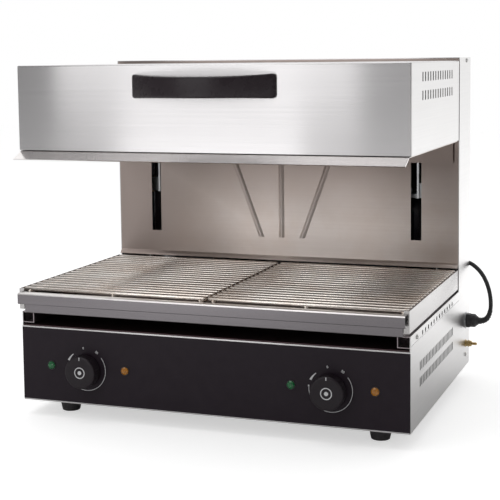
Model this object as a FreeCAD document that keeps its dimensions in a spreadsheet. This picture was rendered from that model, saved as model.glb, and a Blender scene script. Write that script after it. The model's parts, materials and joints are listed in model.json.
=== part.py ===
import FreeCAD, Part
import math
import os
import re
import Sketcher

# Lift-type cheese melter: a base with two wire racks and a drip tray, a column behind it,
# and a heated head that runs up and down the column on counterweights.
# X points to the right, Y to the back, Z up. The origin is the middle of the base's flat underside.

Vector = FreeCAD.Vector
os.makedirs("parts", exist_ok=True)
doc = FreeCAD.newDocument("CheeseMelter")
sheet = doc.addObject("Spreadsheet::Sheet", "Sizes")

sizes = {
    # whole body
    "wide": 600.0, "deep": 440.0, "column_high": 512.0, "base_high": 136.0,
    "column_deep": 94.0, "skin": 1.2, "seat_gap": 0.3, "overrun": 2.0,
    # feet
    "foot_high": 24.0, "foot_top_radius": 18.5, "foot_bottom_radius": 13.5,
    "foot_inset": 54.0, "foot_setback": 49.0, "foot_screw_radius": 3.0, "foot_screw_head": 6.0,
    "foot_recess": 8.0, "foot_screw_long": 16.0,
    # base pan
    "pan_flange": 14.0, "pan_slot_long": 60.0, "pan_slot_wide": 6.0, "pan_slot_pitch": 24.0,
    "pan_step": 2.0, "pan_border": 85.0, "pan_margin": 24.0,
    # side skins
    "vent_low": 52.0, "vent_high": 75.0, "vent_tall": 13.0, "vent_wide": 5.0, "vent_first": -161.0,
    "vent_pitch": 10.2, "hole_radius": 3.5, "hole_level": 126.5, "hole_first": -143.0,
    "hole_pitch": 19.5, "crease_level": 121.2, "crease_wide": 1.0, "crease_depth": 0.5,
    # front panel and its black cover
    "panel_high": 114.5, "cover_thick": 1.0, "hem": 2.0, "panel_flange": 18.0,
    "dial_inset": 110.0, "dial_shift": -3.0, "dial_level": 53.5, "lamp_offset": 61.0, "lamp_level": 56.4,
    "spindle_hole": 5.0, "lamp_hole": 5.0,
    # rails under the rack frame
    "rail_inset": 19.0, "rail_low": 119.0, "rail_high": 135.4, "rail_rear": 112.0,
    # heat shield
    "shield_level": 114.8, "shield_flange": 20.0,
    # column front
    "fold_level": 182.0, "fold_drop": 7.0, "fold_out": 7.0,
    "slot_inset": 70.0, "slot_wide": 17.5, "slot_low": 217.0, "slot_high": 492.0,
    "rib_low": 213.0, "rib_high": 496.0, "rib_wide": 10.0, "rib_proud": 3.5,
    "rib_spread": 36.0, "rib_top_spread": 141.0,
    # head
    "head_setback": 5.0, "head_low": 381.0, "head_high": 507.0, "head_gap": 6.0,
    "apron_low": 344.0, "apron_inset": 9.0,
    "louvre_low": 454.0, "louvre_high": 480.0, "louvre_tall": 13.0, "louvre_wide": 6.0,
    "louvre_first": -148.0, "louvre_pitch": 17.3,
    # reflector and its lip
    "lip_seam": 0.8, "lip_out": 25.0, "lip_drop": 11.0, "lip_hem": 4.0, "lip_inset": 3.0,
    "cavity_inset": 15.0, "cavity_wall": 17.0, "cavity_gap": 18.0, "cavity_roof": 452.0,
    "rim_inset": 2.0, "blanket_thick": 25.0,
    # heating elements
    "tube_radius": 4.0, "tube_level": 438.0, "leg_first": 55.0, "leg_pitch": 60.0,
    "leg_front": 150.0, "leg_rear": 62.0, "pin_radius": 1.6, "pin_long": 9.0, "tail_end": 108.0,
    "strap_wide": 12.0, "strap_front": 96.0, "strap_rear": 8.0, "hanger_radius": 2.0,
    # handle
    "handle_half": 110.0, "handle_low": 461.0, "handle_tall": 30.0, "handle_out": 43.0,
    "handle_grip": 10.0, "handle_foot": 16.0, "handle_round": 3.0,
    "handle_screw_radius": 2.5, "handle_screw_head": 4.5,
    # lift: carriages, rods, pulleys, weights
    "arm_thick": 3.0, "arm_low": 385.0, "arm_high": 470.0,
    "plate_low": 284.0, "plate_front_gap": 13.0, "plate_deep": 40.0, "block_tall": 24.0,
    "rod_offset": 25.0, "rod_radius": 6.0, "rod_low": 92.0,
    "bush_radius": 9.0, "bush_flange": 11.0, "bush_lip": 2.0, "running_gap": 0.05,
    "block_half": 13.0, "shoe_thick": 6.0, "bridge_level": 497.0, "ferrule_radius": 3.0,
    "ferrule_tall": 9.0,
    "pulley_rim": 29.0, "pulley_wide": 8.0, "pulley_level": 458.0,
    "pulley_inset": 42.0, "axle_radius": 4.0, "groove_depth": 3.5, "rope_radius": 1.5,
    "weight_half": 36.0, "weight_deep": 56.0, "weight_tall": 195.0, "weight_low": 60.0,
    "bolt_radius": 3.0, "bolt_head": 5.0, "bolt_head_tall": 3.5,
    # rack frame, tray and racks
    "frame_low": 141.0, "frame_high": 172.5, "frame_proud": 6.0, "frame_gap": 8.0,
    "frame_lip": 8.0, "foot_flange": 10.0, "ledge_wide": 12.0,
    "front_rail_low": 149.0, "tray_gap": 1.3, "tray_wall": 147.0,
    "tray_front_high": 167.7, "tray_side_gap": 9.0, "tray_lip_gap": 3.5,
    "tray_lip_out": 12.0, "tray_lip_low": 150.5, "tray_hem": 4.0, "tray_rear_gap": 10.0,
    "wire_radius": 2.5, "bar_radius": 3.0, "wire_top": 173.0, "wire_first": -213.5,
    "wire_pitch": 18.0, "rack_split": 2.0, "rack_gap": 3.0, "bar_inset": 8.0,
    # knobs, thermostats, lamps
    "knob_radius": 22.5, "knob_skirt": 4.0, "knob_grip": 24.5, "knob_out": 22.0, "knob_gap": 0.6,
    "knob_notch": 1.2, "spindle_radius": 3.0, "spindle_long": 34.0, "spindle_bore": 10.0,
    "stat_wide": 34.0, "stat_tall": 40.0, "stat_deep": 26.0, "neck_radius": 4.6,
    "lens_radius": 5.6, "lens_out": 4.2, "lamp_body_radius": 4.6, "lamp_body_long": 24.0,
    # rear wall fittings
    "gland_y": 191.0, "gland_level": 77.0, "gland_hex": 12.5, "gland_hex_thick": 9.0,
    "gland_cap": 11.0, "gland_nose": 7.0, "gland_out": 21.0, "gland_hole": 8.0,
    "gland_nut": 12.0, "gland_nut_thick": 6.0,
    "stud_y": 188.0, "stud_level": 38.5, "stud_radius": 2.5, "stud_out": 19.0, "stud_nut": 5.0,
    "stud_nut_thick": 4.0, "stud_washer": 6.0, "stud_washer_thick": 1.2, "stud_in": 8.0,
    "block_wide": 60.0, "block_depth": 22.0, "block_high": 24.0,
    "screw_radius": 1.8, "screw_head": 3.6, "screw_head_tall": 1.8, "screw_long": 8.0,
    # mains lead
    "cord_radius": 3.5, "coil_radius": 46.0, "coil_pitch": 7.7, "coil_layer": 7.7,
    "coil_side": 18.0, "plug_wide": 37.0, "plug_thick": 23.0,
    "plug_long": 40.0, "plug_round": 6.0,
    "plug_neck_radius": 6.0, "plug_neck_long": 26.0, "pin_radius_wide": 2.4, "prong_long": 19.0,
    "prong_offset": 9.5, "clip_radius": 4.0, "clip_thick": 1.2, "clip_wide": 6.0,
    "clip_tab": 16.0, "tie_wide": 8.0, "tie_thick": 0.8,
}
vent_count = 24
hole_count = 12
louvre_count = 13
wire_count = 19
pan_slot_count = 8
coil_turns = 2

for row, (alias, number) in enumerate(sizes.items(), start=1):
    sheet.set(f"A{row}", alias)
    sheet.set(f"B{row}", str(number))
    sheet.setAlias(f"B{row}", alias)
doc.recompute()

# names for places that follow the sizes above; a rule may use these names too
follows = {
    "foot_x": "wide / 2 - foot_inset", "foot_y": "deep / 2 - foot_setback",
    "dial_x": "wide / 2 - dial_inset", "rail_web": "wide / 2 - rail_inset",
    "slot_x": "wide / 2 - slot_inset", "arm_x": "slot_x", "pulley_x": "slot_x - pulley_inset",
    "head_front": "deep / 2 - head_setback", "apron_half": "wide / 2 - apron_inset",
    "cavity_half": "wide / 2 - cavity_inset", "cavity_front": "head_front - cavity_wall",
    "cavity_rear": "deep / 2 - column_deep - head_gap - cavity_gap", "rim_half": "wide / 2 - rim_inset",
    "frame_front": "deep / 2 + frame_proud", "frame_rear": "deep / 2 - column_deep - frame_gap",
    "tray_front": "frame_front", "tray_front_half": "wide / 2 - tray_side_gap",
    "tray_lip_half": "wide / 2 - tray_lip_gap", "tray_rear": "frame_rear - tray_rear_gap",
    "rack_edge": "wide / 2 - rack_gap",
}

# places that several pieces share, written in the same names
back = "(deep / 2)"
front = "(-deep / 2)"
side_in = "(wide / 2 - skin)"
column_front = "(deep / 2 - column_deep)"
top = "(column_high - skin)"
cover_back = "(-deep / 2 + cover_thick)"
head_rear = "(deep / 2 - column_deep - head_gap)"
reflector_top = "(head_low - lip_seam)"
plate_front = "(deep / 2 - column_deep + plate_front_gap)"
rod_y = "(deep / 2 - column_deep + plate_front_gap + plate_deep / 2)"
rod_x = "(arm_x + rod_offset)"
wire_level = "(wire_top - wire_radius)"
bar_level = "(wire_top - 2 * wire_radius - bar_radius + seat_gap)"
tray_base = "(rail_high + seat_gap)"
tray_half = "(wide / 2 - foot_flange - skin - tray_gap)"
ledge_level = "(wire_top - 2 * wire_radius - 2 * bar_radius)"
groove_line = "(pulley_rim - groove_depth)"
weight_top = "(weight_low + weight_tall + ferrule_tall)"
lug_top = "(plate_low + shoe_thick + ferrule_tall)"
side_screws = [("foot_y + column_deep / 6", "column_high - hem * 2.5"),
               ("-head_front * 0.83", "hole_level + skin"),
               ("foot_y + column_deep / 6", "shield_flange")]
rear_screws = ["hem * 5", "base_high", "column_high / 2", "column_high - hem * 2.5"]


def spelled(text):
    """Puts each followed place's own rule in its name's stead."""
    return re.sub(r"[a-z][a-z_]*", lambda word: f"({spelled(follows[word.group(0)])})"
                  if word.group(0) in follows else word.group(0), str(text))


def bind(text):
    """Turn a size written in plain names into a sheet expression."""
    return re.sub(r"[a-z][a-z_]*", lambda word: "Sizes." + word.group(0), spelled(text))


def value(text):
    """The number that a size written in plain names comes to."""
    filled = re.sub(r"[a-z][a-z_]*", lambda word: f"({sheet.get(word.group(0))})", spelled(text))
    return float(FreeCAD.Units.Quantity(filled))


def place(piece, spot, axis="z"):
    turn = {"x": FreeCAD.Rotation(Vector(0, 1, 0), 90), "z": FreeCAD.Rotation(),
            "y": FreeCAD.Rotation(Vector(1, 0, 0), -90)}[axis]
    piece.Placement = FreeCAD.Placement(Vector(), turn)
    for letter, text in zip("xyz", spot):
        piece.setExpression(f"Placement.Base.{letter}", bind(text))
    return piece


def box(name, low, high):
    piece = doc.addObject("Part::Box", name)
    for side, start, end in zip(("Length", "Width", "Height"), low, high):
        piece.setExpression(side, bind(f"({end}) - ({start})"))
    return place(piece, low)


def cylinder(name, axis, spot, radius, length):
    piece = doc.addObject("Part::Cylinder", name)
    piece.setExpression("Radius", bind(radius))
    piece.setExpression("Height", bind(length))
    return place(piece, spot, axis)


def bar(name, axis, spot, radius, length, corners=8):
    """A rod with flats, for wires and pins that repeat; radius is measured to the flats."""
    piece = doc.addObject("Part::Prism", name)
    piece.Polygon = corners
    piece.setExpression("Circumradius", bind(f"({radius}) * {1 / math.cos(math.pi / corners)}"))
    piece.setExpression("Height", bind(length))
    place(piece, spot, axis)
    roll = FreeCAD.Rotation(Vector(0, 0, 1), 180 / corners)
    piece.Placement = FreeCAD.Placement(piece.Placement.Base, piece.Placement.Rotation * roll)
    return piece


def cone(name, axis, spot, radius, far_radius, length):
    piece = doc.addObject("Part::Cone", name)
    piece.setExpression("Radius1", bind(radius))
    piece.setExpression("Radius2", bind(far_radius))
    piece.setExpression("Height", bind(length))
    return place(piece, spot, axis)


def fuse(name, pieces):
    joined = doc.addObject("Part::MultiFuse", name)
    joined.Shapes = pieces
    joined.Label = name
    return joined


def group(name, pieces):
    """Separate solids that share one node."""
    joined = doc.addObject("Part::Compound", name)
    joined.Links = pieces
    joined.Label = name
    return joined


def cut(name, base, tools):
    result = doc.addObject("Part::Cut", name)
    result.Base = base
    result.Tool = tools[0] if len(tools) == 1 else fuse(name + "_tools", tools)
    result.Label = name
    return result


def body(name):
    piece = doc.addObject("PartDesign::Body", name)
    piece.Label = name
    return piece


def plane_of(piece, role):
    return [item for item in piece.Origin.OriginFeatures if item.Role == role][0]


def sketch(piece, plane, height, loops):
    """Closed loops on an origin plane: lists of corners, or ('circle', x, y, radius)."""
    outline = piece.newObject("Sketcher::SketchObject", piece.Name + "_sketch")
    outline.AttachmentSupport = [(plane_of(piece, plane + "_Plane"), "")]
    outline.MapMode = "FlatFace"
    outline.setExpression("AttachmentOffset.Base.z", bind(height))
    for loop in loops:
        first = outline.GeometryCount
        if loop[0] == "circle":
            spot, radius = loop[1:3], loop[3]
            centre = Vector(value(spot[0]), value(spot[1]), 0)
            outline.addGeometry(Part.Circle(centre, Vector(0, 0, 1), value(radius)), False)
            tie_point(outline, first, 3, spot)
            index = outline.addConstraint(Sketcher.Constraint("Radius", first, value(radius)))
            outline.setExpression(f"Constraints[{index}]", bind(radius))
            continue
        corners = [Vector(value(x), value(y), 0) for x, y in loop]
        count = len(corners)
        for number in range(count):
            line = Part.LineSegment(corners[number], corners[(number + 1) % count])
            outline.addGeometry(line, False)
        for number in range(count):
            following = first + (number + 1) % count
            outline.addConstraint(Sketcher.Constraint("Coincident", first + number, 2, following, 1))
            tie_point(outline, first + number, 1, loop[number])
    return outline


def tie_point(outline, geometry, point, spot):
    for kind, text in zip(("DistanceX", "DistanceY"), spot):
        rule = Sketcher.Constraint(kind, -1, 1, geometry, point, value(text))
        index = outline.addConstraint(rule)
        outline.setExpression(f"Constraints[{index}]", bind(text))


def pad(piece, plane, low, high, loops):
    """Material between two heights along the plane's own axis."""
    start = f"-({high})" if plane == "XZ" else low
    feature = piece.newObject("PartDesign::Pad", piece.Name + "_pad")
    feature.Profile = sketch(piece, plane, start, loops)
    feature.setExpression("Length", bind(f"({high}) - ({low})"))
    return feature


def pocket(piece, plane, low, high, loops):
    """Takes away what lies between two heights along the plane's own axis."""
    start = f"-({low})" if plane == "XZ" else high
    feature = piece.newObject("PartDesign::Pocket", piece.Name + "_pocket")
    feature.Profile = sketch(piece, plane, start, loops)
    feature.setExpression("Length", bind(f"({high}) - ({low})"))
    return feature


def repeat(piece, feature, axis, length, count):
    pattern = piece.newObject("PartDesign::LinearPattern", piece.Name + "_row")
    pattern.Originals = [feature]
    pattern.Direction = (plane_of(piece, axis + "_Axis"), [""])
    pattern.setExpression("Length", bind(length))
    pattern.Occurrences = count
    piece.Tip = pattern
    return pattern


def rectangle(low_x, high_x, low_y, high_y):
    return [(low_x, low_y), (high_x, low_y), (high_x, high_y), (low_x, high_y)]


def small_hole(x, y, radius):
    """A small hole as an eight-sided loop; radius is measured to its flats."""
    angles = [math.pi / 8 * (2 * corner + 1) for corner in range(8)]
    reach = 1 / math.cos(math.pi / 8)
    return [(f"{x} + {round(math.cos(angle) * reach, 5)} * ({radius})",
             f"{y} + {round(math.sin(angle) * reach, 5)} * ({radius})") for angle in angles]


def mirrored(side, inner, outer):
    """Low and high bounds of a span on the right (1) or left (-1)."""
    return (inner, outer) if side > 0 else (f"-({outer})", f"-({inner})")


def lathe(piece, corners):
    """Turns a profile of (radius, height) corners round the body's own upright axis."""
    outline = sketch(piece, "XZ", "0", [corners])
    feature = piece.newObject("PartDesign::Revolution", piece.Name + "_turned")
    feature.Profile = outline
    feature.ReferenceAxis = (outline, ["V_Axis"])
    feature.Angle = 360
    return feature


sides = {"left": -1, "right": 1}
nodes = []


def keep(piece):
    nodes.append(piece)
    return piece


# base and column skins


def make_side(side_name, side):
    piece = body("side_panel_" + side_name)
    low, high = mirrored(side, side_in, "(wide / 2)")
    corners = [(cover_back, "0"), (back, "0"), (back, "column_high"), (column_front, "column_high"),
               (column_front, "base_high"), (cover_back, "base_high")]
    pad(piece, "YZ", low, high, [corners])
    vents = [rectangle("vent_first", "vent_first + vent_wide", level, f"{level} + vent_tall")
             for level in ("vent_low", "vent_high")]
    row = pocket(piece, "YZ", low, high, vents)
    repeat(piece, row, "Y", f"vent_pitch * {vent_count - 1}", vent_count)
    hole = pocket(piece, "YZ", low, high, [small_hole("hole_first", "hole_level", "hole_radius")])
    repeat(piece, hole, "Y", f"hole_pitch * {hole_count - 1}", hole_count)
    pocket(piece, "YZ", low, high, [small_hole(y, z, "screw_radius + seat_gap") for y, z in side_screws])
    low, high = mirrored(side, "(wide / 2 - crease_depth)", "(wide / 2)")
    pocket(piece, "YZ", low, high, [rectangle("cover_thick - deep / 2", column_front,
                                              "crease_level", "crease_level + crease_wide")])
    if side > 0:
        low, high = side_in, "(wide / 2)"
        pocket(piece, "YZ", low, high, [("circle", "gland_y", "gland_level", "gland_hole + seat_gap")])
        pocket(piece, "YZ", low, high, [small_hole("stud_y", "stud_level", "stud_radius + seat_gap")])
    return keep(piece)


def make_base_pan():
    piece = body("base_pan")
    half = "(wide / 2 - skin)"
    low_y, high_y = "(cover_thick + skin - deep / 2)", "(deep / 2 - skin)"
    field_x, field_y = "(wide / 2 - pan_border)", "(deep / 2 - pan_margin)"
    field = rectangle(f"-{field_x}", field_x, f"-{field_y}", field_y)
    step = rectangle(f"skin - {field_x}", f"{field_x} - skin", f"skin - {field_y}", f"{field_y} - skin")
    pad(piece, "XY", "0", "skin", [field])
    pad(piece, "XY", "skin / 2", "pan_step + skin", [field, step])
    pad(piece, "XY", "pan_step", "pan_step + skin", [rectangle(f"-{half}", half, low_y, high_y), step])
    for side in (-1, 1):
        low, high = mirrored(side, f"{half} - skin", half)
        pad(piece, "YZ", low, high, [rectangle(low_y, high_y, "pan_step + skin / 2", "pan_flange")])
    slot = pocket(piece, "XY", "0", "skin", [
        rectangle(f"{shift} - pan_slot_long / 2", f"{shift} + pan_slot_long / 2",
                  "-foot_y / 2", "pan_slot_wide - foot_y / 2")
        for shift in ("-foot_x / 2", "0", "foot_x / 2")])
    repeat(piece, slot, "Y", f"pan_slot_pitch * {pan_slot_count - 1}", pan_slot_count)
    pocket(piece, "XY", "pan_step", "pan_step + skin", [
        small_hole(f"{x} * foot_x", f"{y} * foot_y", "foot_screw_radius + seat_gap")
        for x in (-1, 1) for y in (-1, 1)])
    return keep(piece)


def make_rear_panel():
    piece = body("rear_panel")
    pad(piece, "XZ", f"{back} - skin", back, [rectangle(f"-{side_in}", side_in, "0", top)])
    pocket(piece, "XZ", f"{back} - skin", back, [
        small_hole(f"{side} * ({side_in} - screw_long)", level, "screw_radius + seat_gap")
        for side in (-1, 1) for level in rear_screws])
    return keep(piece)


def make_column_front():
    piece = body("column_front")
    inner = f"({column_front} + skin)"
    profile = [(column_front, top), (inner, top), (inner, "fold_level - skin / 2"),
               (f"{inner} - fold_out", "fold_level - fold_drop - skin / 2"),
               (f"{column_front} - fold_out", "fold_level - fold_drop"), (column_front, "fold_level")]
    pad(piece, "YZ", f"-{side_in}", side_in, [profile])
    slots = [rectangle(f"{side} * slot_x - slot_wide / 2", f"{side} * slot_x + slot_wide / 2",
                       "slot_low", "slot_high") for side in (-1, 1)]
    pocket(piece, "XZ", f"{column_front} - overrun", f"{inner} + overrun", slots)
    for lean in (-1, 0, 1):
        middle = f"({lean} * rib_spread)"
        ridge = [(f"{middle} - rib_wide / 2", f"{column_front} + skin / 2"),
                 (f"{middle} - rib_wide / 2", column_front),
                 (middle, f"{column_front} - rib_proud"),
                 (f"{middle} + rib_wide / 2", column_front),
                 (f"{middle} + rib_wide / 2", f"{column_front} + skin / 2")]
        rib = pad(piece, "XY", "rib_low", "rib_high", [ridge])
        rib.UseCustomVector = True
        rib.AlongSketchNormal = True
        rib.Direction = Vector(lean, 0, 1)
        rib.setExpression("Direction.x", bind(
            f"{lean} * (rib_top_spread - rib_spread) / (rib_high - rib_low)"))
    return keep(piece)


def make_column_top():
    piece = body("column_top")
    pad(piece, "XY", top, "column_high", [rectangle(f"-{side_in}", side_in, column_front, back)])
    return keep(piece)


def make_front_panel():
    piece = body("front_panel")
    inner = f"({cover_back} + skin)"
    pad(piece, "XZ", cover_back, inner, [rectangle(f"-{side_in}", side_in, "0", "panel_high")])
    for low, high in (("0", "hem"), ("panel_high - hem", "panel_high")):
        pad(piece, "XZ", front, cover_back, [rectangle("-wide / 2", "wide / 2", low, high)])
    pad(piece, "XY", "panel_high - skin", "panel_high",
        [rectangle(f"-{side_in}", side_in, f"{cover_back} + skin / 2", f"{inner} + panel_flange - skin")])
    pocket(piece, "XZ", cover_back, inner, control_holes())
    return keep(piece)


def control_holes():
    holes = []
    for side in (-1, 1):
        holes.append(small_hole(f"{side} * dial_x + dial_shift", "dial_level", "spindle_hole"))
        for shift in (-1, 1):
            holes.append(small_hole(f"{side} * dial_x + {shift} * lamp_offset", "lamp_level", "lamp_hole"))
    return holes


def make_control_cover():
    piece = body("control_cover")
    pad(piece, "XZ", front, cover_back, [rectangle("-wide / 2", "wide / 2", "hem", "panel_high - hem")])
    pocket(piece, "XZ", front, cover_back, control_holes())
    return keep(piece)


def make_heat_shield():
    piece = body("heat_shield")
    low_y, high_y = f"{cover_back} + skin", "rail_rear"
    pad(piece, "XY", "shield_level", "shield_level + skin",
        [rectangle(f"-{side_in}", side_in, low_y, high_y)])
    pad(piece, "XZ", f"{high_y} - skin", high_y,
        [rectangle(f"-{side_in}", side_in, "shield_level - shield_flange", "shield_level + skin / 2")])
    return keep(piece)


def make_rail(side_name, side):
    piece = body("support_rail_" + side_name)
    low_y, high_y = f"{cover_back} + skin", "rail_rear"
    web = mirrored(side, "rail_web", "rail_web + skin")
    pad(piece, "YZ", *web, [rectangle(low_y, high_y, "rail_low", "rail_high")])
    flange = mirrored(side, "rail_web + skin / 2", side_in)
    pad(piece, "YZ", *flange, [rectangle(low_y, high_y, "rail_low", "rail_low + skin")])
    pad(piece, "YZ", *flange, [rectangle(low_y, high_y, "rail_high - skin", "rail_high")])
    return keep(piece)


# feet


def make_feet():
    feet = []
    screws = []
    for x in (-1, 1):
        for y in (-1, 1):
            spot = (f"{x} * foot_x", f"{y} * foot_y", "-foot_high")
            name = f"foot_{len(feet) + 1}"
            rubber = cone(name + "_rubber", "z", spot, "foot_bottom_radius", "foot_top_radius",
                          "foot_high + pan_step")
            recess = cylinder(name + "_recess", "z", spot, "foot_screw_head + seat_gap", "foot_recess")
            bore = bar(name + "_bore", "z", spot, "foot_screw_radius + seat_gap", "foot_high + pan_step")
            feet.append(cut(name, rubber, [recess, bore]))
            low = (spot[0], spot[1], "foot_recess - foot_high - bolt_head_tall")
            head = bar(name + "_screw_head", "z", low, "foot_screw_head * 0.8", "bolt_head_tall", 6)
            low = (spot[0], spot[1], "foot_recess - foot_high - bolt_head_tall / 2")
            shank = bar(name + "_screw_shank", "z", low, "foot_screw_radius",
                        "foot_screw_long + bolt_head_tall / 2 + pan_flange / 2")
            screws.append(fuse(name + "_screw", [head, shank]))
    keep(group("feet", feet))
    keep(group("foot_screws", screws))


# rack frame, drip tray and wire racks


def make_rack_frame():
    piece = body("rack_frame")
    front_y, rear_y = "(-frame_front)", "frame_rear"
    leg_front = "(skin + seat_gap - frame_front)"
    for side in (-1, 1):
        pad(piece, "YZ", *mirrored(side, side_in, "(wide / 2)"),
            [rectangle(front_y, rear_y, "frame_low", "frame_high")])
        inner = "(wide / 2 - foot_flange)"
        pad(piece, "YZ", *mirrored(side, inner, "(wide / 2 - skin / 2)"),
            [rectangle(leg_front, rear_y, "frame_low", "frame_low + skin")])
        pad(piece, "YZ", *mirrored(side, inner, f"{inner} + skin"),
            [rectangle(leg_front, "rail_rear", "rail_high", "frame_low + skin / 2")])
        pad(piece, "YZ", *mirrored(side, "(wide / 2 - frame_lip)", "(wide / 2 - skin / 2)"),
            [rectangle(front_y, f"{front_y} + skin", "frame_low", "frame_high")])
        pad(piece, "YZ", *mirrored(side, f"{side_in} - ledge_wide", "(wide / 2 - skin / 2)"),
            [rectangle(f"{front_y} + 2 * skin", rear_y, f"{ledge_level} - skin", ledge_level)])
    span = [f"-(wide / 2 - skin / 2)", "(wide / 2 - skin / 2)"]
    pad(piece, "YZ", *span, [[
        (f"{front_y} + 2 * skin + seat_gap", "front_rail_low"),
        (f"{front_y} + 3 * skin + seat_gap", "front_rail_low"),
        (f"{front_y} + 3 * skin + seat_gap", f"{ledge_level} - skin"),
        (f"{front_y} + ledge_wide", f"{ledge_level} - skin"),
        (f"{front_y} + ledge_wide", ledge_level),
        (f"{front_y} + 2 * skin + seat_gap", ledge_level)]])
    pad(piece, "YZ", *span, [[
        (rear_y, "frame_low"), (rear_y, ledge_level), (f"{rear_y} - ledge_wide", ledge_level),
        (f"{rear_y} - ledge_wide", f"{ledge_level} - skin"), (f"{rear_y} - skin", f"{ledge_level} - skin"),
        (f"{rear_y} - skin", "frame_low")]])
    return keep(piece)


def make_drip_tray():
    piece = body("drip_tray")
    front_y, rear_y = "(-tray_front)", "tray_rear"
    pad(piece, "XY", tray_base, f"{tray_base} + skin",
        [rectangle(f"-{tray_half}", tray_half, f"{front_y} + skin / 2", rear_y)])
    for side in (-1, 1):
        pad(piece, "YZ", *mirrored(side, f"{tray_half} - skin", tray_half),
            [rectangle(f"{front_y} + skin / 2", rear_y, tray_base, "tray_wall")])
    pad(piece, "XZ", f"{rear_y} - skin", rear_y,
        [rectangle(f"-{tray_half}", tray_half, tray_base, "tray_wall")])
    pad(piece, "XZ", front_y, f"{front_y} + skin",
        [rectangle("-tray_front_half", "tray_front_half", tray_base, "tray_front_high")])
    lip_y = f"({front_y} - tray_lip_out)"
    pad(piece, "YZ", "-tray_lip_half", "tray_lip_half", [[
        (f"{front_y} - seat_gap", "tray_front_high"), (lip_y, "tray_front_high"),
        (lip_y, "tray_lip_low"), (f"{lip_y} + tray_hem", "tray_lip_low"),
        (f"{lip_y} + tray_hem", "tray_lip_low + skin"), (f"{lip_y} + skin", "tray_lip_low + skin"),
        (f"{lip_y} + skin", "tray_front_high - skin"), (f"{front_y} - seat_gap", "tray_front_high - skin")]])
    pad(piece, "XY", "tray_front_high - skin", "tray_front_high",
        [rectangle("-tray_front_half", "tray_front_half", f"{front_y} - seat_gap - skin", f"{front_y} + skin")])
    return keep(piece)


def make_rack(side_name, side):
    name = "wire_rack_" + side_name
    inner, outer = mirrored(side, "rack_split", "rack_edge")
    bars = []
    for number in range(wire_count):
        spot = (inner, f"wire_first + {number} * wire_pitch", wire_level)
        bars.append(bar(f"{name}_wire_{number}", "x", spot, "wire_radius", f"({outer}) - ({inner})"))
    last = f"({wire_count - 1} * wire_pitch)"
    for number, x in enumerate(("rack_split + bar_inset", "(rack_split + rack_edge) / 2",
                                "rack_edge - bar_inset")):
        spot = (f"{side} * ({x})", "wire_first - bar_radius", bar_level)
        bars.append(bar(f"{name}_bar_{number}", "y", spot, "bar_radius", f"{last} + 2 * bar_radius"))
    return keep(fuse(name, bars))


# head


def make_head_shell():
    piece = body("head_shell")
    pad(piece, "XY", "head_low", "head_high",
        [rectangle("-wide / 2", "wide / 2", "-head_front", head_rear)])
    pocket(piece, "XY", "head_low", "head_high - skin",
           [rectangle(f"-{side_in}", side_in, "skin - head_front", f"{head_rear} + overrun")])
    slits = [rectangle("louvre_first", "louvre_first + louvre_wide", level, f"{level} + louvre_tall")
             for level in ("louvre_low", "louvre_high")]
    for side in (-1, 1):
        row = pocket(piece, "YZ", *mirrored(side, side_in, "(wide / 2)"), slits)
        repeat(piece, row, "Y", f"louvre_pitch * {louvre_count - 1}", louvre_count)
    pocket(piece, "XZ", "-head_front", "skin - head_front", [small_hole(
        f"{side} * (handle_half - handle_foot)", "handle_low + handle_tall / 2",
        "handle_screw_radius + seat_gap") for side in (-1, 1)])
    return keep(piece)


def arm_holes(side):
    return [small_hole(f"{side} * (arm_x + {shift} * block_half)", level, "bolt_radius + seat_gap")
            for shift in (-1, 1) for level in ("arm_low + block_half", "arm_high - block_half")]


def make_head_rear():
    piece = body("head_rear_panel")
    upper = "(head_high - skin)"
    corners = [("-apron_half", "apron_low"), ("apron_half", "apron_low"), ("apron_half", "head_low"),
               (side_in, "head_low"), (side_in, upper), (f"-{side_in}", upper),
               (f"-{side_in}", "head_low"), ("-apron_half", "head_low")]
    pad(piece, "XZ", f"{head_rear} - skin", head_rear, [corners])
    pocket(piece, "XZ", f"{head_rear} - skin", head_rear,
           [hole for side in (-1, 1) for hole in arm_holes(side)])
    return keep(piece)


def make_reflector():
    piece = body("reflector")
    rim_low = f"({reflector_top} - skin)"
    front_y, rear_y = "(skin - head_front)", f"({head_rear} - skin - seat_gap)"
    outer = rectangle("-rim_half", "rim_half", front_y, rear_y)
    inner = rectangle("-cavity_half", "cavity_half", "-cavity_front", "cavity_rear")
    pad(piece, "XY", rim_low, reflector_top, [outer, inner])
    shell = rectangle("-cavity_half - skin", "cavity_half + skin", "-cavity_front - skin",
                      "cavity_rear + skin")
    pad(piece, "XY", rim_low, "cavity_roof + skin", [shell, inner])
    pad(piece, "XY", "cavity_roof", "cavity_roof + skin", [shell])
    lip_y = f"({front_y} - lip_out)"
    lip_z = f"({reflector_top} - lip_drop)"
    pad(piece, "YZ", "lip_inset - wide / 2", "wide / 2 - lip_inset", [[
        (f"{front_y} + skin", reflector_top), (front_y, reflector_top), (lip_y, lip_z),
        (f"{lip_y} + lip_hem / 2", f"{lip_z} - skin"), (f"{lip_y} + lip_hem", lip_z),
        (front_y, rim_low), (f"{front_y} + skin", rim_low)]])
    holes = [("circle", f"{side} * (leg_first + {leg} * leg_pitch)", "tube_level",
              "tube_radius + seat_gap") for side in (-1, 1) for leg in (0, 3)]
    pocket(piece, "XZ", "cavity_rear - overrun", "cavity_rear + skin + overrun", holes)
    return keep(piece)


def make_blanket():
    bottom = "(cavity_roof + skin + seat_gap)"
    return keep(box("insulation_blanket", ("-cavity_half", "-cavity_front", bottom),
                    ("cavity_half", "cavity_rear", f"{bottom} + blanket_thick")))


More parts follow.
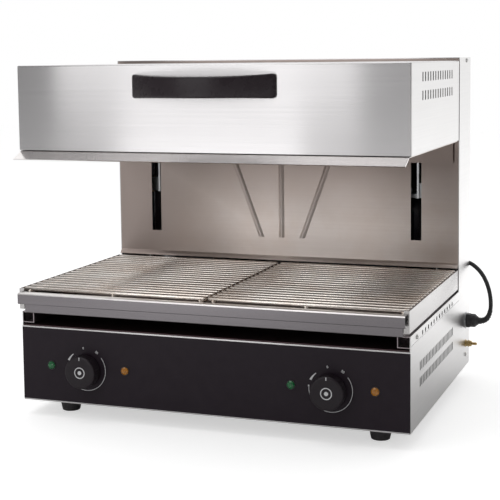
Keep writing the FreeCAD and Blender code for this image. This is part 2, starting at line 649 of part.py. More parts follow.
def make_element(side_name, side):
    """A folded tube with four legs and three bends; both ends leave through the rear wall."""
    name = "heating_element_" + side_name
    level = value("tube_level")
    fore, aft, reach = -value("leg_front"), value("leg_rear"), value("leg_pitch / 2")
    legs = [side * value(f"leg_first + {leg} * leg_pitch") for leg in range(4)]
    tail = value("tail_end")
    edges = [Part.LineSegment(Vector(legs[0], tail, level), Vector(legs[0], fore, level)).toShape()]
    for leg in range(3):
        turn, out = (fore, -reach) if leg in (0, 2) else (aft, reach)
        first, last = Vector(legs[leg], turn, level), Vector(legs[leg + 1], turn, level)
        middle = (first + last) / 2
        edges.append(Part.Arc(first, middle + Vector(0, out, 0), last).toShape())
        end = {0: aft, 1: fore, 2: tail}[leg]
        edges.append(Part.LineSegment(last, Vector(legs[leg + 1], end, level)).toShape())
    tube = swept(Part.Wire(edges), value("tube_radius"))
    pins = [Part.makeBox(value("pin_radius * 2"), value("pin_long"), value("pin_radius"),
                         Vector(x - value("pin_radius"), tail, level - value("pin_radius / 2")))
            for x in (legs[0], legs[3])]
    return keep(made(name, tube.fuse(pins)))


def make_element_straps():
    straps = []
    under = "(tube_level - tube_radius - seat_gap)"
    for side in (-1, 1):
        for y in ("-strap_front", "strap_rear"):
            name = f"element_strap_{len(straps) + 1}"
            low_x, high_x = mirrored(side, "leg_first - leg_pitch / 2", "leg_first + 3.5 * leg_pitch")
            parts = [box(name + "_bar", (low_x, f"{y} - strap_wide / 2", f"{under} - skin"),
                         (high_x, f"{y} + strap_wide / 2", under))]
            for share in (-0.5, 1.5, 3.5):
                inset = f"{side} * (leg_first + {share} * leg_pitch - {share - 1.5} * hanger_radius)"
                parts.append(bar(f"{name}_hanger_{len(parts)}", "z", (inset, y, f"{under} - skin / 2"),
                                 "hanger_radius", f"cavity_roof - {under} + skin / 2", 6))
            straps.append(fuse(name, parts))
    return keep(group("element_straps", straps))


def make_handle():
    """A bow seen from above: feet on the head, a curved bar and a finger gap behind it."""
    name = "handle"
    rise = value("handle_out")
    half = value("handle_half")
    grip = value("handle_grip")
    foot = value("handle_foot")
    face = -value("head_front")
    low = value("handle_low")
    end_share = 0.12
    outer = [Vector(-half, face - end_share * rise, low), Vector(0, face - rise, low),
             Vector(half, face - end_share * rise, low)]
    inner_half = half - foot * 2
    inner = [Vector(inner_half, face, low), Vector(0, face - rise + grip, low), Vector(-inner_half, face, low)]
    edges = [Part.Arc(*outer).toShape(), Part.LineSegment(outer[2], Vector(half, face, low)).toShape(),
             Part.LineSegment(Vector(half, face, low), inner[0]).toShape(), Part.Arc(*inner).toShape(),
             Part.LineSegment(inner[2], Vector(-half, face, low)).toShape(),
             Part.LineSegment(Vector(-half, face, low), outer[0]).toShape()]
    solid = Part.Face(Part.Wire(edges)).extrude(Vector(0, 0, value("handle_tall")))
    round_edges = [edge for edge in solid.Edges if all(
        vertex.Point.y < face - 1e-6 for vertex in edge.Vertexes)
        and edge.BoundBox.YMin < face - value("handle_round")]
    solid = solid.makeFillet(value("handle_round"), round_edges)
    for side in (-1, 1):
        spot = Vector(side * (half - foot), face, low + value("handle_tall") / 2)
        hole = Part.makeCylinder(value("handle_screw_radius + seat_gap"), foot / 2, spot, Vector(0, -1, 0))
        solid = solid.cut(hole)
    piece = doc.addObject("Part::Feature", name)
    piece.Shape = solid
    piece.Label = name
    return keep(piece)


def screw(name, axis, spot, direction, head, shank, head_tall, long):
    """A head that stands on a face and a shank behind it; direction is where the head looks."""
    out = f"({direction} * {head_tall})"
    into = f"({direction} * -({long}))"
    index = "xyz".index(axis)
    start = list(spot)
    start[index] = f"({spot[index]}) + {'0' if direction > 0 else out}"
    cap = bar(name + "_head", axis, start, head, head_tall, 6)
    start = list(spot)
    start[index] = f"({spot[index]}) + {into if direction > 0 else '-(' + head_tall + ') / 2'}"
    stem = bar(name + "_shank", axis, start, shank, f"({long}) + ({head_tall}) / 2")
    return fuse(name, [cap, stem])


def make_handle_screws():
    screws = []
    for side in (-1, 1):
        spot = (f"{side} * (handle_half - handle_foot)", "skin - head_front", "handle_low + handle_tall / 2")
        screws.append(screw(f"handle_screw_{len(screws) + 1}", "y", spot, 1, "handle_screw_head",
                            "handle_screw_radius", "bolt_head_tall / 2", "skin + handle_foot / 2 - seat_gap"))
    return keep(group("handle_screws", screws))


# lift


def make_carriage(side_name, side):
    """Upright plate inside the column, its arm through the slot, and two bearing blocks on the rod."""
    piece = body("lift_carriage_" + side_name)
    inner, outer = mirrored(side, "arm_x - arm_thick / 2", "arm_x + arm_thick / 2")
    plate_back = f"({plate_front} + plate_deep)"
    arm_front = f"({head_rear} + skin)"
    pad(piece, "YZ", inner, outer, [[
        (plate_front, "plate_low"), (plate_back, "plate_low"), (plate_back, "arm_high"),
        (arm_front, "arm_high"), (arm_front, "arm_low"), (plate_front, "arm_low")]])
    pad(piece, "XZ", head_rear, arm_front + " + skin", [rectangle(
        f"{side} * arm_x - block_half * 2", f"{side} * arm_x + block_half * 2", "arm_low", "arm_high")])
    for low in ("plate_low", "arm_high - block_tall"):
        pad(piece, "XY", low, f"{low} + block_tall", [rectangle(
            *mirrored(side, "arm_x + arm_thick / 4", f"{rod_x} + block_half"),
            f"{rod_y} - block_half", f"{rod_y} + block_half")])
    rope_x = f"(pulley_x + {groove_line})"
    pad(piece, "XY", "plate_low", "plate_low + shoe_thick", [rectangle(
        *mirrored(side, f"{rope_x} - ferrule_radius * 2", "arm_x - arm_thick / 4"),
        f"{rod_y} - block_half", f"{rod_y} + block_half")])
    pad(piece, "XY", "plate_low + shoe_thick", "plate_low + shoe_thick + ferrule_tall",
        [("circle", f"{side} * {rope_x}", rod_y, "ferrule_radius")])
    pocket(piece, "XY", "plate_low", "arm_high",
           [("circle", f"{side} * {rod_x}", rod_y, "bush_radius")])
    pocket(piece, "XZ", head_rear, f"{arm_front} + skin", arm_holes(side))
    return keep(piece)


def make_bushings():
    bushings = []
    for side in (-1, 1):
        for low in ("plate_low", "arm_high - block_tall"):
            name = f"bushing_{len(bushings) + 1}"
            spot = (f"{side} * {rod_x}", rod_y, f"{low} - bush_lip")
            sleeve = cylinder(name + "_sleeve", "z", spot, "bush_radius - seat_gap",
                          "block_tall + bush_lip")
            collar = cylinder(name + "_collar", "z", spot, "bush_flange", "bush_lip")
            bore = cylinder(name + "_bore", "z", spot, "rod_radius + running_gap", "block_tall + bush_lip")
            bushings.append(cut(name, fuse(name + "_outside", [sleeve, collar]), [bore]))
    return keep(group("carriage_bushings", bushings))


def make_guide_rods():
    rods = [cylinder(f"guide_rod_{side_name}", "z", (f"{side} * {rod_x}", rod_y, "rod_low"),
                     "rod_radius", "bridge_level - rod_low") for side_name, side in sides.items()]
    return keep(group("guide_rods", rods))


def make_rod_shoes():
    """Lower brackets on the rear wall that carry the feet of the rods."""
    shoes = []
    wall = "(deep / 2 - skin)"
    for side_name, side in sides.items():
        low_x, high_x = mirrored(side, f"{rod_x} - block_half", f"{rod_x} + block_half")
        name = "rod_shoe_" + side_name
        shelf = box(name + "_shelf", (low_x, f"{rod_y} - block_half", "rod_low - shoe_thick"),
                    (high_x, wall, "rod_low"))
        plate = box(name + "_plate", (low_x, f"{wall} - skin * 2", "rod_low - shoe_thick - block_tall"),
                    (high_x, wall, "rod_low"))
        shoes.append(fuse(name, [shelf, plate]))
    return keep(group("rod_shoes", shoes))


def make_bridge():
    """Upper cross member between the side skins; it holds the rods' heads and the pulley axles."""
    piece = body("lift_bridge")
    wall = "(deep / 2 - skin)"
    pad(piece, "XY", "bridge_level", "bridge_level + shoe_thick",
        [rectangle(f"-{side_in}", side_in, f"{rod_y} - block_half", wall)])
    for side in (-1, 1):
        spot = f"{side} * pulley_x"
        pad(piece, "XZ", f"{rod_y} + pulley_wide / 2 + 1.5 * bush_lip",
            f"{rod_y} + pulley_wide / 2 + 1.5 * bush_lip + shoe_thick", [rectangle(
                f"{spot} - block_half", f"{spot} + block_half", "pulley_level - block_half",
                "bridge_level + shoe_thick / 2")])
    return keep(piece)


def make_axles():
    axles = []
    for side in (-1, 1):
        name = f"pulley_axle_{len(axles) + 1}"
        start = f"{rod_y} - pulley_wide / 2 - bush_lip"
        spot = (f"{side} * pulley_x", start, "pulley_level")
        pin = cylinder(name + "_pin", "y", spot, "axle_radius", "pulley_wide + 2.5 * bush_lip")
        head = cylinder(name + "_head", "y", (spot[0], f"{start} - bush_lip + seat_gap", spot[2]),
                        "axle_radius * 1.6", "bush_lip")
        axles.append(fuse(name, [pin, head]))
    return keep(group("pulley_axles", axles))


def make_pulley(side_name, side):
    name = "cable_pulley_" + side_name
    piece = body(name)
    half, rim = "(pulley_wide / 2)", "pulley_rim"
    groove = "(pulley_rim - groove_depth - rope_radius - seat_gap)"
    bore = "(axle_radius + running_gap)"
    lathe(piece, [(bore, f"-{half}"), (rim, f"-{half}"), (groove, "-rope_radius"),
                  (groove, "rope_radius"), (rim, half), (bore, half)])
    pocket(piece, "XY", f"-{half}", half, [
        small_hole(f"{x} * pulley_rim / 2", f"{y} * pulley_rim / 2", "axle_radius")
        for x, y in ((1, 0), (-1, 0), (0, 1), (0, -1))])
    place(piece, (f"{side} * pulley_x", rod_y, "pulley_level"), "y")
    return keep(piece)


def make_cables():
    """Each rope runs from the carriage over the pulley and down to its weight."""
    outer, inner, wraps = [], [], []
    for side in (-1, 1):
        x = f"{side} * (pulley_x + {groove_line})"
        outer.append(bar(f"carriage_rope_{len(outer) + 1}", "z", (x, rod_y, lug_top),
                         "rope_radius", f"pulley_level - {lug_top}"))
        x = f"{side} * (pulley_x - {groove_line})"
        inner.append(bar(f"weight_rope_{len(inner) + 1}", "z", (x, rod_y, weight_top),
                         "rope_radius", f"pulley_level - {weight_top}"))
        middle = Vector(side * value("pulley_x"), value(rod_y), value("pulley_level"))
        reach = Vector(value(groove_line), 0, 0)
        crown = middle + Vector(0, 0, value(groove_line))
        arc = Part.Wire([Part.Arc(middle - reach, crown, middle + reach).toShape()])
        wraps.append(swept(arc, value("rope_radius")))
    keep(group("carriage_ropes", outer))
    keep(group("weight_ropes", inner))
    keep(made("rope_wraps", Part.makeCompound(wraps)))


def make_weight(side_name, side):
    name = "counterweight_" + side_name
    middle = f"({side} * (pulley_x - {groove_line}))"
    block = box(name + "_block", (f"{middle} - weight_half", f"{rod_y} - weight_deep / 2", "weight_low"),
                (f"{middle} + weight_half", f"{rod_y} + weight_deep / 2", "weight_low + weight_tall"))
    ferrule = cylinder(name + "_ferrule", "z", (middle, rod_y, "weight_low + weight_tall - skin"),
                       "ferrule_radius", "ferrule_tall + skin")
    return keep(fuse(name, [block, ferrule]))


def make_arm_bolts():
    bolts = []
    for side in (-1, 1):
        for shift in (-1, 1):
            for level in ("arm_low + block_half", "arm_high - block_half"):
                spot = (f"{side} * (arm_x + {shift} * block_half)", f"{head_rear} - skin", level)
                bolts.append(screw(f"arm_bolt_{len(bolts) + 1}", "y", spot, -1, "bolt_head", "bolt_radius",
                                   "bolt_head_tall", "skin * 3.5"))
    return keep(group("arm_bolts", bolts))


# controls


def make_knob(side_name, side):
    name = "knob_" + side_name
    piece = body(name)
    bore = "(spindle_radius + seat_gap)"
    lathe(piece, [("0", "spindle_bore"), (bore, "spindle_bore"), (bore, "0"), ("knob_radius", "0"),
                  ("knob_radius", "knob_skirt"), ("knob_grip", "knob_skirt + knob_notch"),
                  ("knob_grip - knob_notch", "knob_out - knob_notch"),
                  ("knob_grip - 2 * knob_notch", "knob_out"), ("0", "knob_out")])
    pocket(piece, "XY", "knob_skirt + 2 * knob_notch", "knob_out + overrun", [rectangle(
        "-knob_notch / 2", "knob_notch / 2", "knob_grip - 3 * knob_notch", "knob_grip + knob_notch")])
    piece.Placement = FreeCAD.Placement(Vector(), FreeCAD.Rotation(Vector(1, 0, 0), 90))
    for letter, text in zip("xyz", (f"{side} * dial_x + dial_shift", f"{front} - knob_gap", "dial_level")):
        piece.setExpression(f"Placement.Base.{letter}", bind(text))
    return keep(piece)


def make_spindle(side_name, side):
    spot = (f"{side} * dial_x + dial_shift", f"{front} - knob_gap - spindle_bore", "dial_level")
    return keep(cylinder("dial_spindle_" + side_name, "y", spot, "spindle_radius", "spindle_long"))


def make_thermostats():
    switches = []
    inner = f"({cover_back} + skin)"
    for side_name, side in sides.items():
        name = "thermostat_" + side_name
        middle = f"{side} * dial_x + dial_shift"
        case = box(name + "_case", (f"{middle} - stat_wide / 2", inner, "dial_level - stat_tall / 2"),
                   (f"{middle} + stat_wide / 2", f"{inner} + stat_deep", "dial_level + stat_tall / 2"))
        neck = cylinder(name + "_neck", "y", (middle, f"{cover_back} + skin / 4", "dial_level"),
                        "neck_radius", "skin")
        bore = cylinder(name + "_bore", "y", (middle, cover_back, "dial_level"),
                        "spindle_radius + running_gap", "spindle_long")
        switches.append(cut(name, fuse(name + "_outside", [case, neck]), [bore]))
    return keep(group("thermostats", switches))


def make_lamps(name, shift):
    lamps = []
    for side in (-1, 1):
        x = f"{side} * dial_x + {shift} * lamp_offset"
        lamps.append(cone(f"{name}_{len(lamps) + 1}", "y", (x, f"{front} - lens_out", "lamp_level"),
                          "lens_radius * 0.6", "lens_radius", "lens_out"))
    return keep(group(name, lamps))


def make_lamp_bodies():
    bodies = []
    for side in (-1, 1):
        for shift in (-1, 1):
            spot = (f"{side} * dial_x + {shift} * lamp_offset", front, "lamp_level")
            bodies.append(bar(f"lamp_body_{len(bodies) + 1}", "y", spot, "lamp_body_radius",
                              "lamp_body_long"))
    return keep(group("lamp_bodies", bodies))


# rear fittings and the mains lead


def hexagon(name, axis, spot, across, length):
    """A six-sided prism, as a nut or a spanner collar."""
    piece = doc.addObject("Part::Prism", name)
    piece.Polygon = 6
    piece.setExpression("Circumradius", bind(across))
    piece.setExpression("Height", bind(length))
    return place(piece, spot, axis)


def make_gland():
    outside = "(wide / 2)"
    y, z = "gland_y", "gland_level"
    collar = hexagon("gland_collar", "x", (outside, y, z), "gland_hex", "gland_hex_thick")
    cap = cone("gland_cap_cone", "x", (f"{outside} + gland_hex_thick - skin", y, z), "gland_cap",
               "gland_nose", "gland_out - gland_hex_thick + skin")
    shank = cylinder("gland_shank", "x", (f"{side_in} - gland_nut_thick - skin", y, z), "gland_hole",
                     "gland_nut_thick + 2 * skin + gland_hex_thick / 2")
    bore = cylinder("gland_bore", "x", (f"{outside} + gland_out - cord_radius * 2", y, z),
                    "cord_radius", "cord_radius * 2 + overrun")
    nut = hexagon("gland_nut", "x", (f"{side_in} - gland_nut_thick", y, z), "gland_nut", "gland_nut_thick")
    return keep(cut("cable_gland", fuse("gland_outside", [collar, cap, shank, nut]), [bore]))


def make_earth_stud():
    outside = "(wide / 2)"
    y, z = "stud_y", "stud_level"
    pieces = [cylinder("stud_rod", "x", (f"{side_in} - stud_in", y, z), "stud_radius",
                       "skin + stud_in + stud_out")]
    step = outside
    for number, (radius, thick, shape) in enumerate((
            ("stud_washer", "stud_washer_thick", cylinder), ("stud_nut", "stud_nut_thick", hexagon),
            ("stud_washer", "stud_washer_thick", cylinder), ("stud_nut", "stud_nut_thick", hexagon))):
        pieces.append(shape(f"stud_ring_{number}", "x", (step, y, z), radius, thick))
        step = f"({step} + {thick})"
    return keep(fuse("earth_stud", pieces))


def make_terminal_block():
    wall = "(deep / 2 - skin)"
    low = ("-block_wide / 2", f"{wall} - block_depth", "shield_flange")
    high = ("block_wide / 2", wall, "shield_flange + block_high")
    base = box("terminal_block_body", low, high)
    holes = [bar(f"terminal_hole_{number}", "z",
                 (f"block_wide * {share}", f"{wall} - block_depth / 2",
                  "shield_flange + block_high / 2"), "block_wide / 24", "block_high")
             for number, share in enumerate((-0.4, -0.2, 0, 0.2, 0.4))]
    return keep(cut("terminal_block", base, holes))


def make_housing_screws():
    screws = []
    for side in (-1, 1):
        for y, z in side_screws:
            screws.append(screw(f"housing_screw_{len(screws) + 1}", "x", (f"{side} * wide / 2", y, z), side,
                                "screw_head", "screw_radius", "screw_head_tall", "screw_long"))
    for side in (-1, 1):
        for level in rear_screws:
            spot = (f"{side} * ({side_in} - screw_long)", back, level)
            screws.append(screw(f"housing_screw_{len(screws) + 1}", "y", spot, 1, "screw_head",
                                "screw_radius", "screw_head_tall", "screw_long"))
    return keep(group("housing_screws", screws))


# the lead's route outside the coil: points chosen by hand, in mm
cord_route = [
    (321, 191, 77), (330, 191, 77), (338, 191.5, 85), (341, 195, 101), (338.5, 200, 121),
    (331, 207, 141), (318, 216, 158), (298, 225, 170), (275, 230, 170), (257, 232, 155),
    (250, 234, 131), (249, 235.5, 106), (249.5, 236.5, 82), (250, 237.5, 60), (250, 237.5, 40),
    (250, 238, 20), (250, 245.7, 2.4), (250, 259.8, -11.7), (250, 278.3, -19.4),
]
coil_entry = (250, 298.3, -19.4)


def rounded(points):
    """Straight runs joined by tangent arcs, each as large as its two runs allow."""
    edges = []
    radii = []
    start = points[0]
    for before, corner, after in zip(points, points[1:], points[2:]):
        into = (corner - before).normalize()
        out = (after - corner).normalize()
        turn = math.acos(max(-1.0, min(1.0, into.dot(out))))
        reach = 0.45 * min((corner - before).Length, (after - corner).Length)
        radii.append(reach / math.tan(turn / 2))
        first = corner - into * reach
        last = corner + out * reach
        middle_way = (out - into).normalize()
        depth = radii[-1] * (1 / math.cos(turn / 2) - 1)
        edges.append(Part.LineSegment(start, first).toShape())
        edges.append(Part.Arc(first, corner + middle_way * depth, last).toShape())
        start = last
    edges.append(Part.LineSegment(start, points[-1]).toShape())
    return Part.Wire(edges), radii


def swept(wire, radius):
    """An eight-sided tube along a wire, with the area of the round one."""
    edge = wire.OrderedEdges[0]
    start = edge.valueAt(edge.FirstParameter)
    along = edge.tangentAt(edge.FirstParameter)
    if edge.Orientation == "Reversed":
        start = edge.valueAt(edge.LastParameter)
        along = edge.tangentAt(edge.LastParameter) * -1
    turn = FreeCAD.Rotation(Vector(0, 0, 1), along)
    angles = [math.pi / 8 * (2 * corner + 1) for corner in range(8)]
    reach = radius * math.sqrt(math.pi / (8 * math.sin(math.pi / 8) * math.cos(math.pi / 8)))
    corners = [start + turn.multVec(Vector(reach * math.cos(angle), reach * math.sin(angle), 0))
               for angle in angles]
    pipe = Part.BRepOffsetAPI.MakePipeShell(wire)
    pipe.add(Part.makePolygon(corners + corners[:1]))
    pipe.build()
    pipe.makeSolid()
    solid = pipe.shape()
    print("tube volume share of section times length",
          round(solid.Volume / (math.pi * radius ** 2 * wire.Length), 4))
    return solid


def arc_from(start, along, end):
    """The arc that leaves a point along a direction and reaches another point."""
    chord = end - start
    half = chord.Length / 2
    angle = along.getAngle(chord)
    side = along - chord * (along.dot(chord) / chord.dot(chord))
    side.normalize()
    return Part.Arc(start, (start + end) / 2 + side * half * math.tan(angle / 2), end).toShape()


def biarc(start, along, end, leave):
    """Two arcs that join two points with given directions."""
    gap = end - start
    both = along + leave
    first = 2 * (1 - along.dot(leave))
    second = 2 * gap.dot(both)
    third = -gap.dot(gap)
    reach = (-second + math.sqrt(second ** 2 - 4 * first * third)) / (2 * first)
    joint = (start + along * reach + end - leave * reach) / 2
    middle = (end - leave * reach) - (start + along * reach)
    middle.normalize()
    return [arc_from(start, along, joint), arc_from(joint, middle, end)]


def coil_path():
    """Quarter-turn stations: in along the floor, up at the tightest turn, and out again on top."""
    quarters = 4 * coil_turns
    last = 2 * quarters + 1
    start = Vector(*coil_entry)
    centre = start - Vector(value("coil_radius"), 0, 0)
    stations = []
    for number in range(last + 1):
        inward = min(number, 2 * quarters + 2 - number)
        climb = min(1, max(0, (number - quarters) / 2))
        if number == last:
            inward = inward - 1
        reach = value("coil_radius") - value("coil_pitch") * inward / 4
        angle = math.pi / 2 * number
        spot = Vector(reach * math.cos(angle), reach * math.sin(angle), value("coil_layer") * climb)
        stations.append((centre + spot, Vector(-math.sin(angle), math.cos(angle), 0)))
    edges = []
    for (begin, along), (end, leave) in zip(stations, stations[1:]):
        edges += biarc(begin, along, end, leave)
    lead_out = stations[-1][0] + stations[-1][1] * value("coil_side")
    edges.append(Part.LineSegment(stations[-1][0], lead_out).toShape())
    return Part.Wire(edges), lead_out, stations[-1][1], centre


def own_gap(wire, radius):
    """Least gap of the tube to itself, measured between points more than a third of a turn apart."""
    count = 600
    points = wire.discretize(count)
    step = wire.Length / (count - 1)
    apart = int(value("coil_radius") * 1.5 / step)
    least = min((points[i] - points[j]).Length for i in range(count) for j in range(i + apart, count))
    return least - 2 * radius


def make_cord():
    radius = value("cord_radius")
    coil, lead_out, along, centre = coil_path()
    route, radii = rounded([Vector(*point) for point in cord_route + [coil_entry]])
    print("lead bend radii", [round(number, 1) for number in radii])
    print("coil gap to itself", round(own_gap(coil, radius), 2))
    print("lead length", round(route.Length), "coil length", round(coil.Length))
    for name, wire in (("mains_lead", route), ("lead_coil", coil)):
        keep(made(name, swept(wire, radius)))
    make_plug(lead_out, along)
    make_tie(centre)
    make_clip()


def made(name, shape):
    piece = doc.addObject("Part::Feature", name)
    piece.Shape = shape
    piece.Label = name
    return piece


def make_plug(start, along):
    """Flattened grip with two round pins; its own axis runs along the end of the lead."""
    turn = FreeCAD.Rotation(Vector(0, 0, 1), along)
    neck_long = value("plug_neck_long")
    neck = Part.makeCone(value("cord_radius + skin"), value("plug_neck_radius"), neck_long)
    thick = value("plug_thick")
    wide = value("plug_wide")
    corner = Vector(-thick / 2, -wide / 2, neck_long - value("skin"))
    grip = Part.makeBox(thick, wide, value("plug_long"), corner)
    grip = grip.makeFillet(value("plug_round"), [edge for edge in grip.Edges if abs(
        edge.BoundBox.ZLength - value("plug_long")) < value("seat_gap")])
    piece = made("mains_plug", neck.fuse(grip).removeSplitter())
    piece.Placement = FreeCAD.Placement(start, turn)
    keep(piece)
    face = neck_long - value("skin") + value("plug_long")
    pins = [Part.makeCylinder(value("pin_radius_wide"), value("prong_long"),
                              Vector(0, side * value("prong_offset"), face)) for side in (-1, 1)]
    piece = made("plug_pins", Part.makeCompound(pins))
    piece.Placement = FreeCAD.Placement(start, turn)
    keep(piece)


def make_tie(centre):
    """A flat band round all turns of the coil, where they run along Y."""
    radius = value("cord_radius + seat_gap")
    thick = value("tie_thick")
    low = -value("foot_high")
    high = centre.z + value("coil_layer") + radius
    far = value("coil_radius - coil_pitch * 0.46") + radius
    near = value("coil_radius - coil_pitch * 2.08") - radius
    outer = Part.makeBox(far - near + 2 * thick, value("tie_wide"), high - low + thick,
                         centre + Vector(-far - thick, -value("tie_wide") / 2, low - centre.z))
    inner = Part.makeBox(far - near, value("tie_wide") * 2, high - low - thick,
                         centre + Vector(-far, -value("tie_wide"), low + thick - centre.z))
    keep(made("coil_tie", outer.cut(inner)))


def make_clip():
    """A ring round the lead at the top of its loop, with a tab on the rear wall."""
    first, second = Vector(*cord_route[7]), Vector(*cord_route[8])
    along = (second - first).normalize()
    middle = (first + second) / 2
    wide = value("clip_wide")
    base = middle - along * wide / 2
    ring = Part.makeCylinder(value("clip_radius + clip_thick"), wide, base, along)
    bore = Part.makeCylinder(value("clip_radius"), wide * 3, middle - along * wide * 3 / 2, along)
    wall = value(back)
    tab = Part.makeBox(wide, middle.y - value("clip_radius") - wall, value("clip_tab"),
                       Vector(middle.x - wide / 2, wall, middle.z - value("clip_tab")))
    keep(made("lead_clip", ring.fuse(tab).cut(bore)))


def build():
    for side_name, side in sides.items():
        make_side(side_name, side)
    make_base_pan()
    make_rear_panel()
    make_column_front()
    make_column_top()
    make_front_panel()
    make_control_cover()
    make_heat_shield()
    for side_name, side in sides.items():
        make_rail(side_name, side)
    make_feet()
    make_rack_frame()
    make_drip_tray()
    for side_name, side in sides.items():
        make_rack(side_name, side)
    make_head_shell()
    make_head_rear()
    make_reflector()
    make_blanket()
    for side_name, side in sides.items():
        make_element(side_name, side)
    make_element_straps()
    make_handle()
    make_handle_screws()
    for side_name, side in sides.items():
        make_carriage(side_name, side)
        make_pulley(side_name, side)
        make_weight(side_name, side)
    make_guide_rods()
    make_rod_shoes()
    make_bushings()
    make_bridge()
    make_axles()
    make_cables()
    make_arm_bolts()
    for side_name, side in sides.items():
        make_knob(side_name, side)
        make_spindle(side_name, side)
    make_thermostats()
    make_lamps("power_lamps", -1)
    make_lamps("heating_lamps", 1)
    make_lamp_bodies()
    make_gland()
    make_earth_stud()
    make_terminal_block()
    make_housing_screws()
    make_cord()


build()
doc.recompute()

faults = [item.Name for item in doc.Objects if {"Invalid", "Error"} & set(item.State)]
faults += [item.Label for item in nodes if item.Shape.isNull() or not item.Shape.isValid()]
if faults:
    raise RuntimeError("failed objects: " + ", ".join(faults))
for item in nodes:
    item.Shape.exportStep(f"parts/{item.Label}.step")
print(len(nodes), "nodes")
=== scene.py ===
import json
import math

import bmesh
import bpy
from mathutils import Matrix, Vector


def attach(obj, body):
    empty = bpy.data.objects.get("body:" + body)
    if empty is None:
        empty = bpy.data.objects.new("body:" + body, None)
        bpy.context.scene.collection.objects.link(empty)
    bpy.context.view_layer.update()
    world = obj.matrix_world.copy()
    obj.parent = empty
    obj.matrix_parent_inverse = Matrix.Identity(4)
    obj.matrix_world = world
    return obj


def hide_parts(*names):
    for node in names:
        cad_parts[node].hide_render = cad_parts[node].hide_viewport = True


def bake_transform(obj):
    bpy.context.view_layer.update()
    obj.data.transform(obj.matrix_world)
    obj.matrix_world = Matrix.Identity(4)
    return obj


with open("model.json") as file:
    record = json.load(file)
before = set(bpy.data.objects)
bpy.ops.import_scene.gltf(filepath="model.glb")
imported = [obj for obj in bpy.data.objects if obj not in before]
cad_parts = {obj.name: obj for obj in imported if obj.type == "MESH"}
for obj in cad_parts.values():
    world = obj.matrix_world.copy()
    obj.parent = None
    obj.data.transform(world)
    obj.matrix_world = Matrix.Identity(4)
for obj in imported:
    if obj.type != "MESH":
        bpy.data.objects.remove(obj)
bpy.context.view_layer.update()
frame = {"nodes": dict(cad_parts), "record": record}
nodes = frame["nodes"]
mm = 0.001
print("frame loaded")


# small helpers

def joinNode(tree, kind, **settings):
    node = tree.nodes.new(kind)
    for key, item in settings.items():
        setattr(node, key, item)
    return node


def wire(tree, start, end):
    tree.links.new(start, end)


def plus(tree, first, second, operation="ADD"):
    node = joinNode(tree, "ShaderNodeMath", operation=operation)
    for index, item in enumerate((first, second)):
        if isinstance(item, (int, float)):
            node.inputs[index].default_value = item
        else:
            wire(tree, item, node.inputs[index])
    return node.outputs[0]


def spread(tree, source, low, high, fromLow=0.3, fromHigh=0.7):
    ramp = joinNode(tree, "ShaderNodeMapRange")
    wire(tree, source, ramp.inputs["Value"])
    ramp.inputs["From Min"].default_value = fromLow
    ramp.inputs["From Max"].default_value = fromHigh
    ramp.inputs["To Min"].default_value = low
    ramp.inputs["To Max"].default_value = high
    return ramp.outputs["Result"]


def meshPiece(name, points, faces, finish, sharpAngle=32):
    mesh = bpy.data.meshes.new(name)
    mesh.from_pydata([Vector(p) for p in points], [], faces)
    mesh.update()
    work = bmesh.new()
    work.from_mesh(mesh)
    bmesh.ops.remove_doubles(work, verts=work.verts, dist=1e-7)
    bmesh.ops.recalc_face_normals(work, faces=work.faces)
    work.to_mesh(mesh)
    work.free()
    piece = bpy.data.objects.new(name, mesh)
    bpy.context.scene.collection.objects.link(piece)
    mesh.materials.append(finish)
    smoothShade(mesh, sharpAngle)
    return piece


def smoothShade(mesh, sharpAngle=32):
    for face in mesh.polygons:
        face.use_smooth = True
    mesh.set_sharp_from_angle(angle=math.radians(sharpAngle))


def joined(name, pieces):
    # one mesh from several, each in its own place already
    work = bmesh.new()
    finishes = []
    for piece in pieces:
        mesh = piece.data.copy()
        mesh.transform(piece.matrix_world)
        start = len(work.faces)
        work.from_mesh(mesh)
        work.faces.ensure_lookup_table()
        for face in work.faces[start:]:
            finish = piece.data.materials[face.material_index]
            if finish not in finishes:
                finishes.append(finish)
            face.material_index = finishes.index(finish)
        bpy.data.meshes.remove(mesh)
        bpy.data.objects.remove(piece)
    mesh = bpy.data.meshes.new(name)
    work.to_mesh(mesh)
    work.free()
    for finish in finishes:
        mesh.materials.append(finish)
    piece = bpy.data.objects.new(name, mesh)
    bpy.context.scene.collection.objects.link(piece)
    return piece


def turned(name, profile, finish, steps=64, place=(0, 0, 0), look="z", sharpAngle=32, flute=None):
    # spins a (radius, height) profile; look is the way the height axis points
    points, faces = [], []
    for radius, height in profile:
        for step in range(steps):
            angle = 2 * math.pi * step / steps
            reach = radius + (flute(angle, radius, height) if flute else 0)
            points.append((reach * math.cos(angle), reach * math.sin(angle), height))
    for ring in range(len(profile) - 1):
        for step in range(steps):
            a, b = ring * steps + step, ring * steps + (step + 1) % steps
            faces.append((a, b, b + steps, a + steps))
    for ring, (radius, height) in ((0, profile[0]), (len(profile) - 1, profile[-1])):
        if radius > 1e-7:
            loop = [ring * steps + step for step in range(steps)]
            faces.append(loop if ring else loop[::-1])
    spin = {"z": Matrix(), "x": Matrix.Rotation(math.pi / 2, 4, "Y"),
            "-x": Matrix.Rotation(-math.pi / 2, 4, "Y"), "-y": Matrix.Rotation(math.pi / 2, 4, "X"),
            "y": Matrix.Rotation(-math.pi / 2, 4, "X"), "-z": Matrix.Rotation(math.pi, 4, "X")}[look]
    placing = Matrix.Translation(Vector(place)) @ spin
    points = [placing @ Vector(p) for p in points]
    return meshPiece(name, points, faces, finish, sharpAngle)


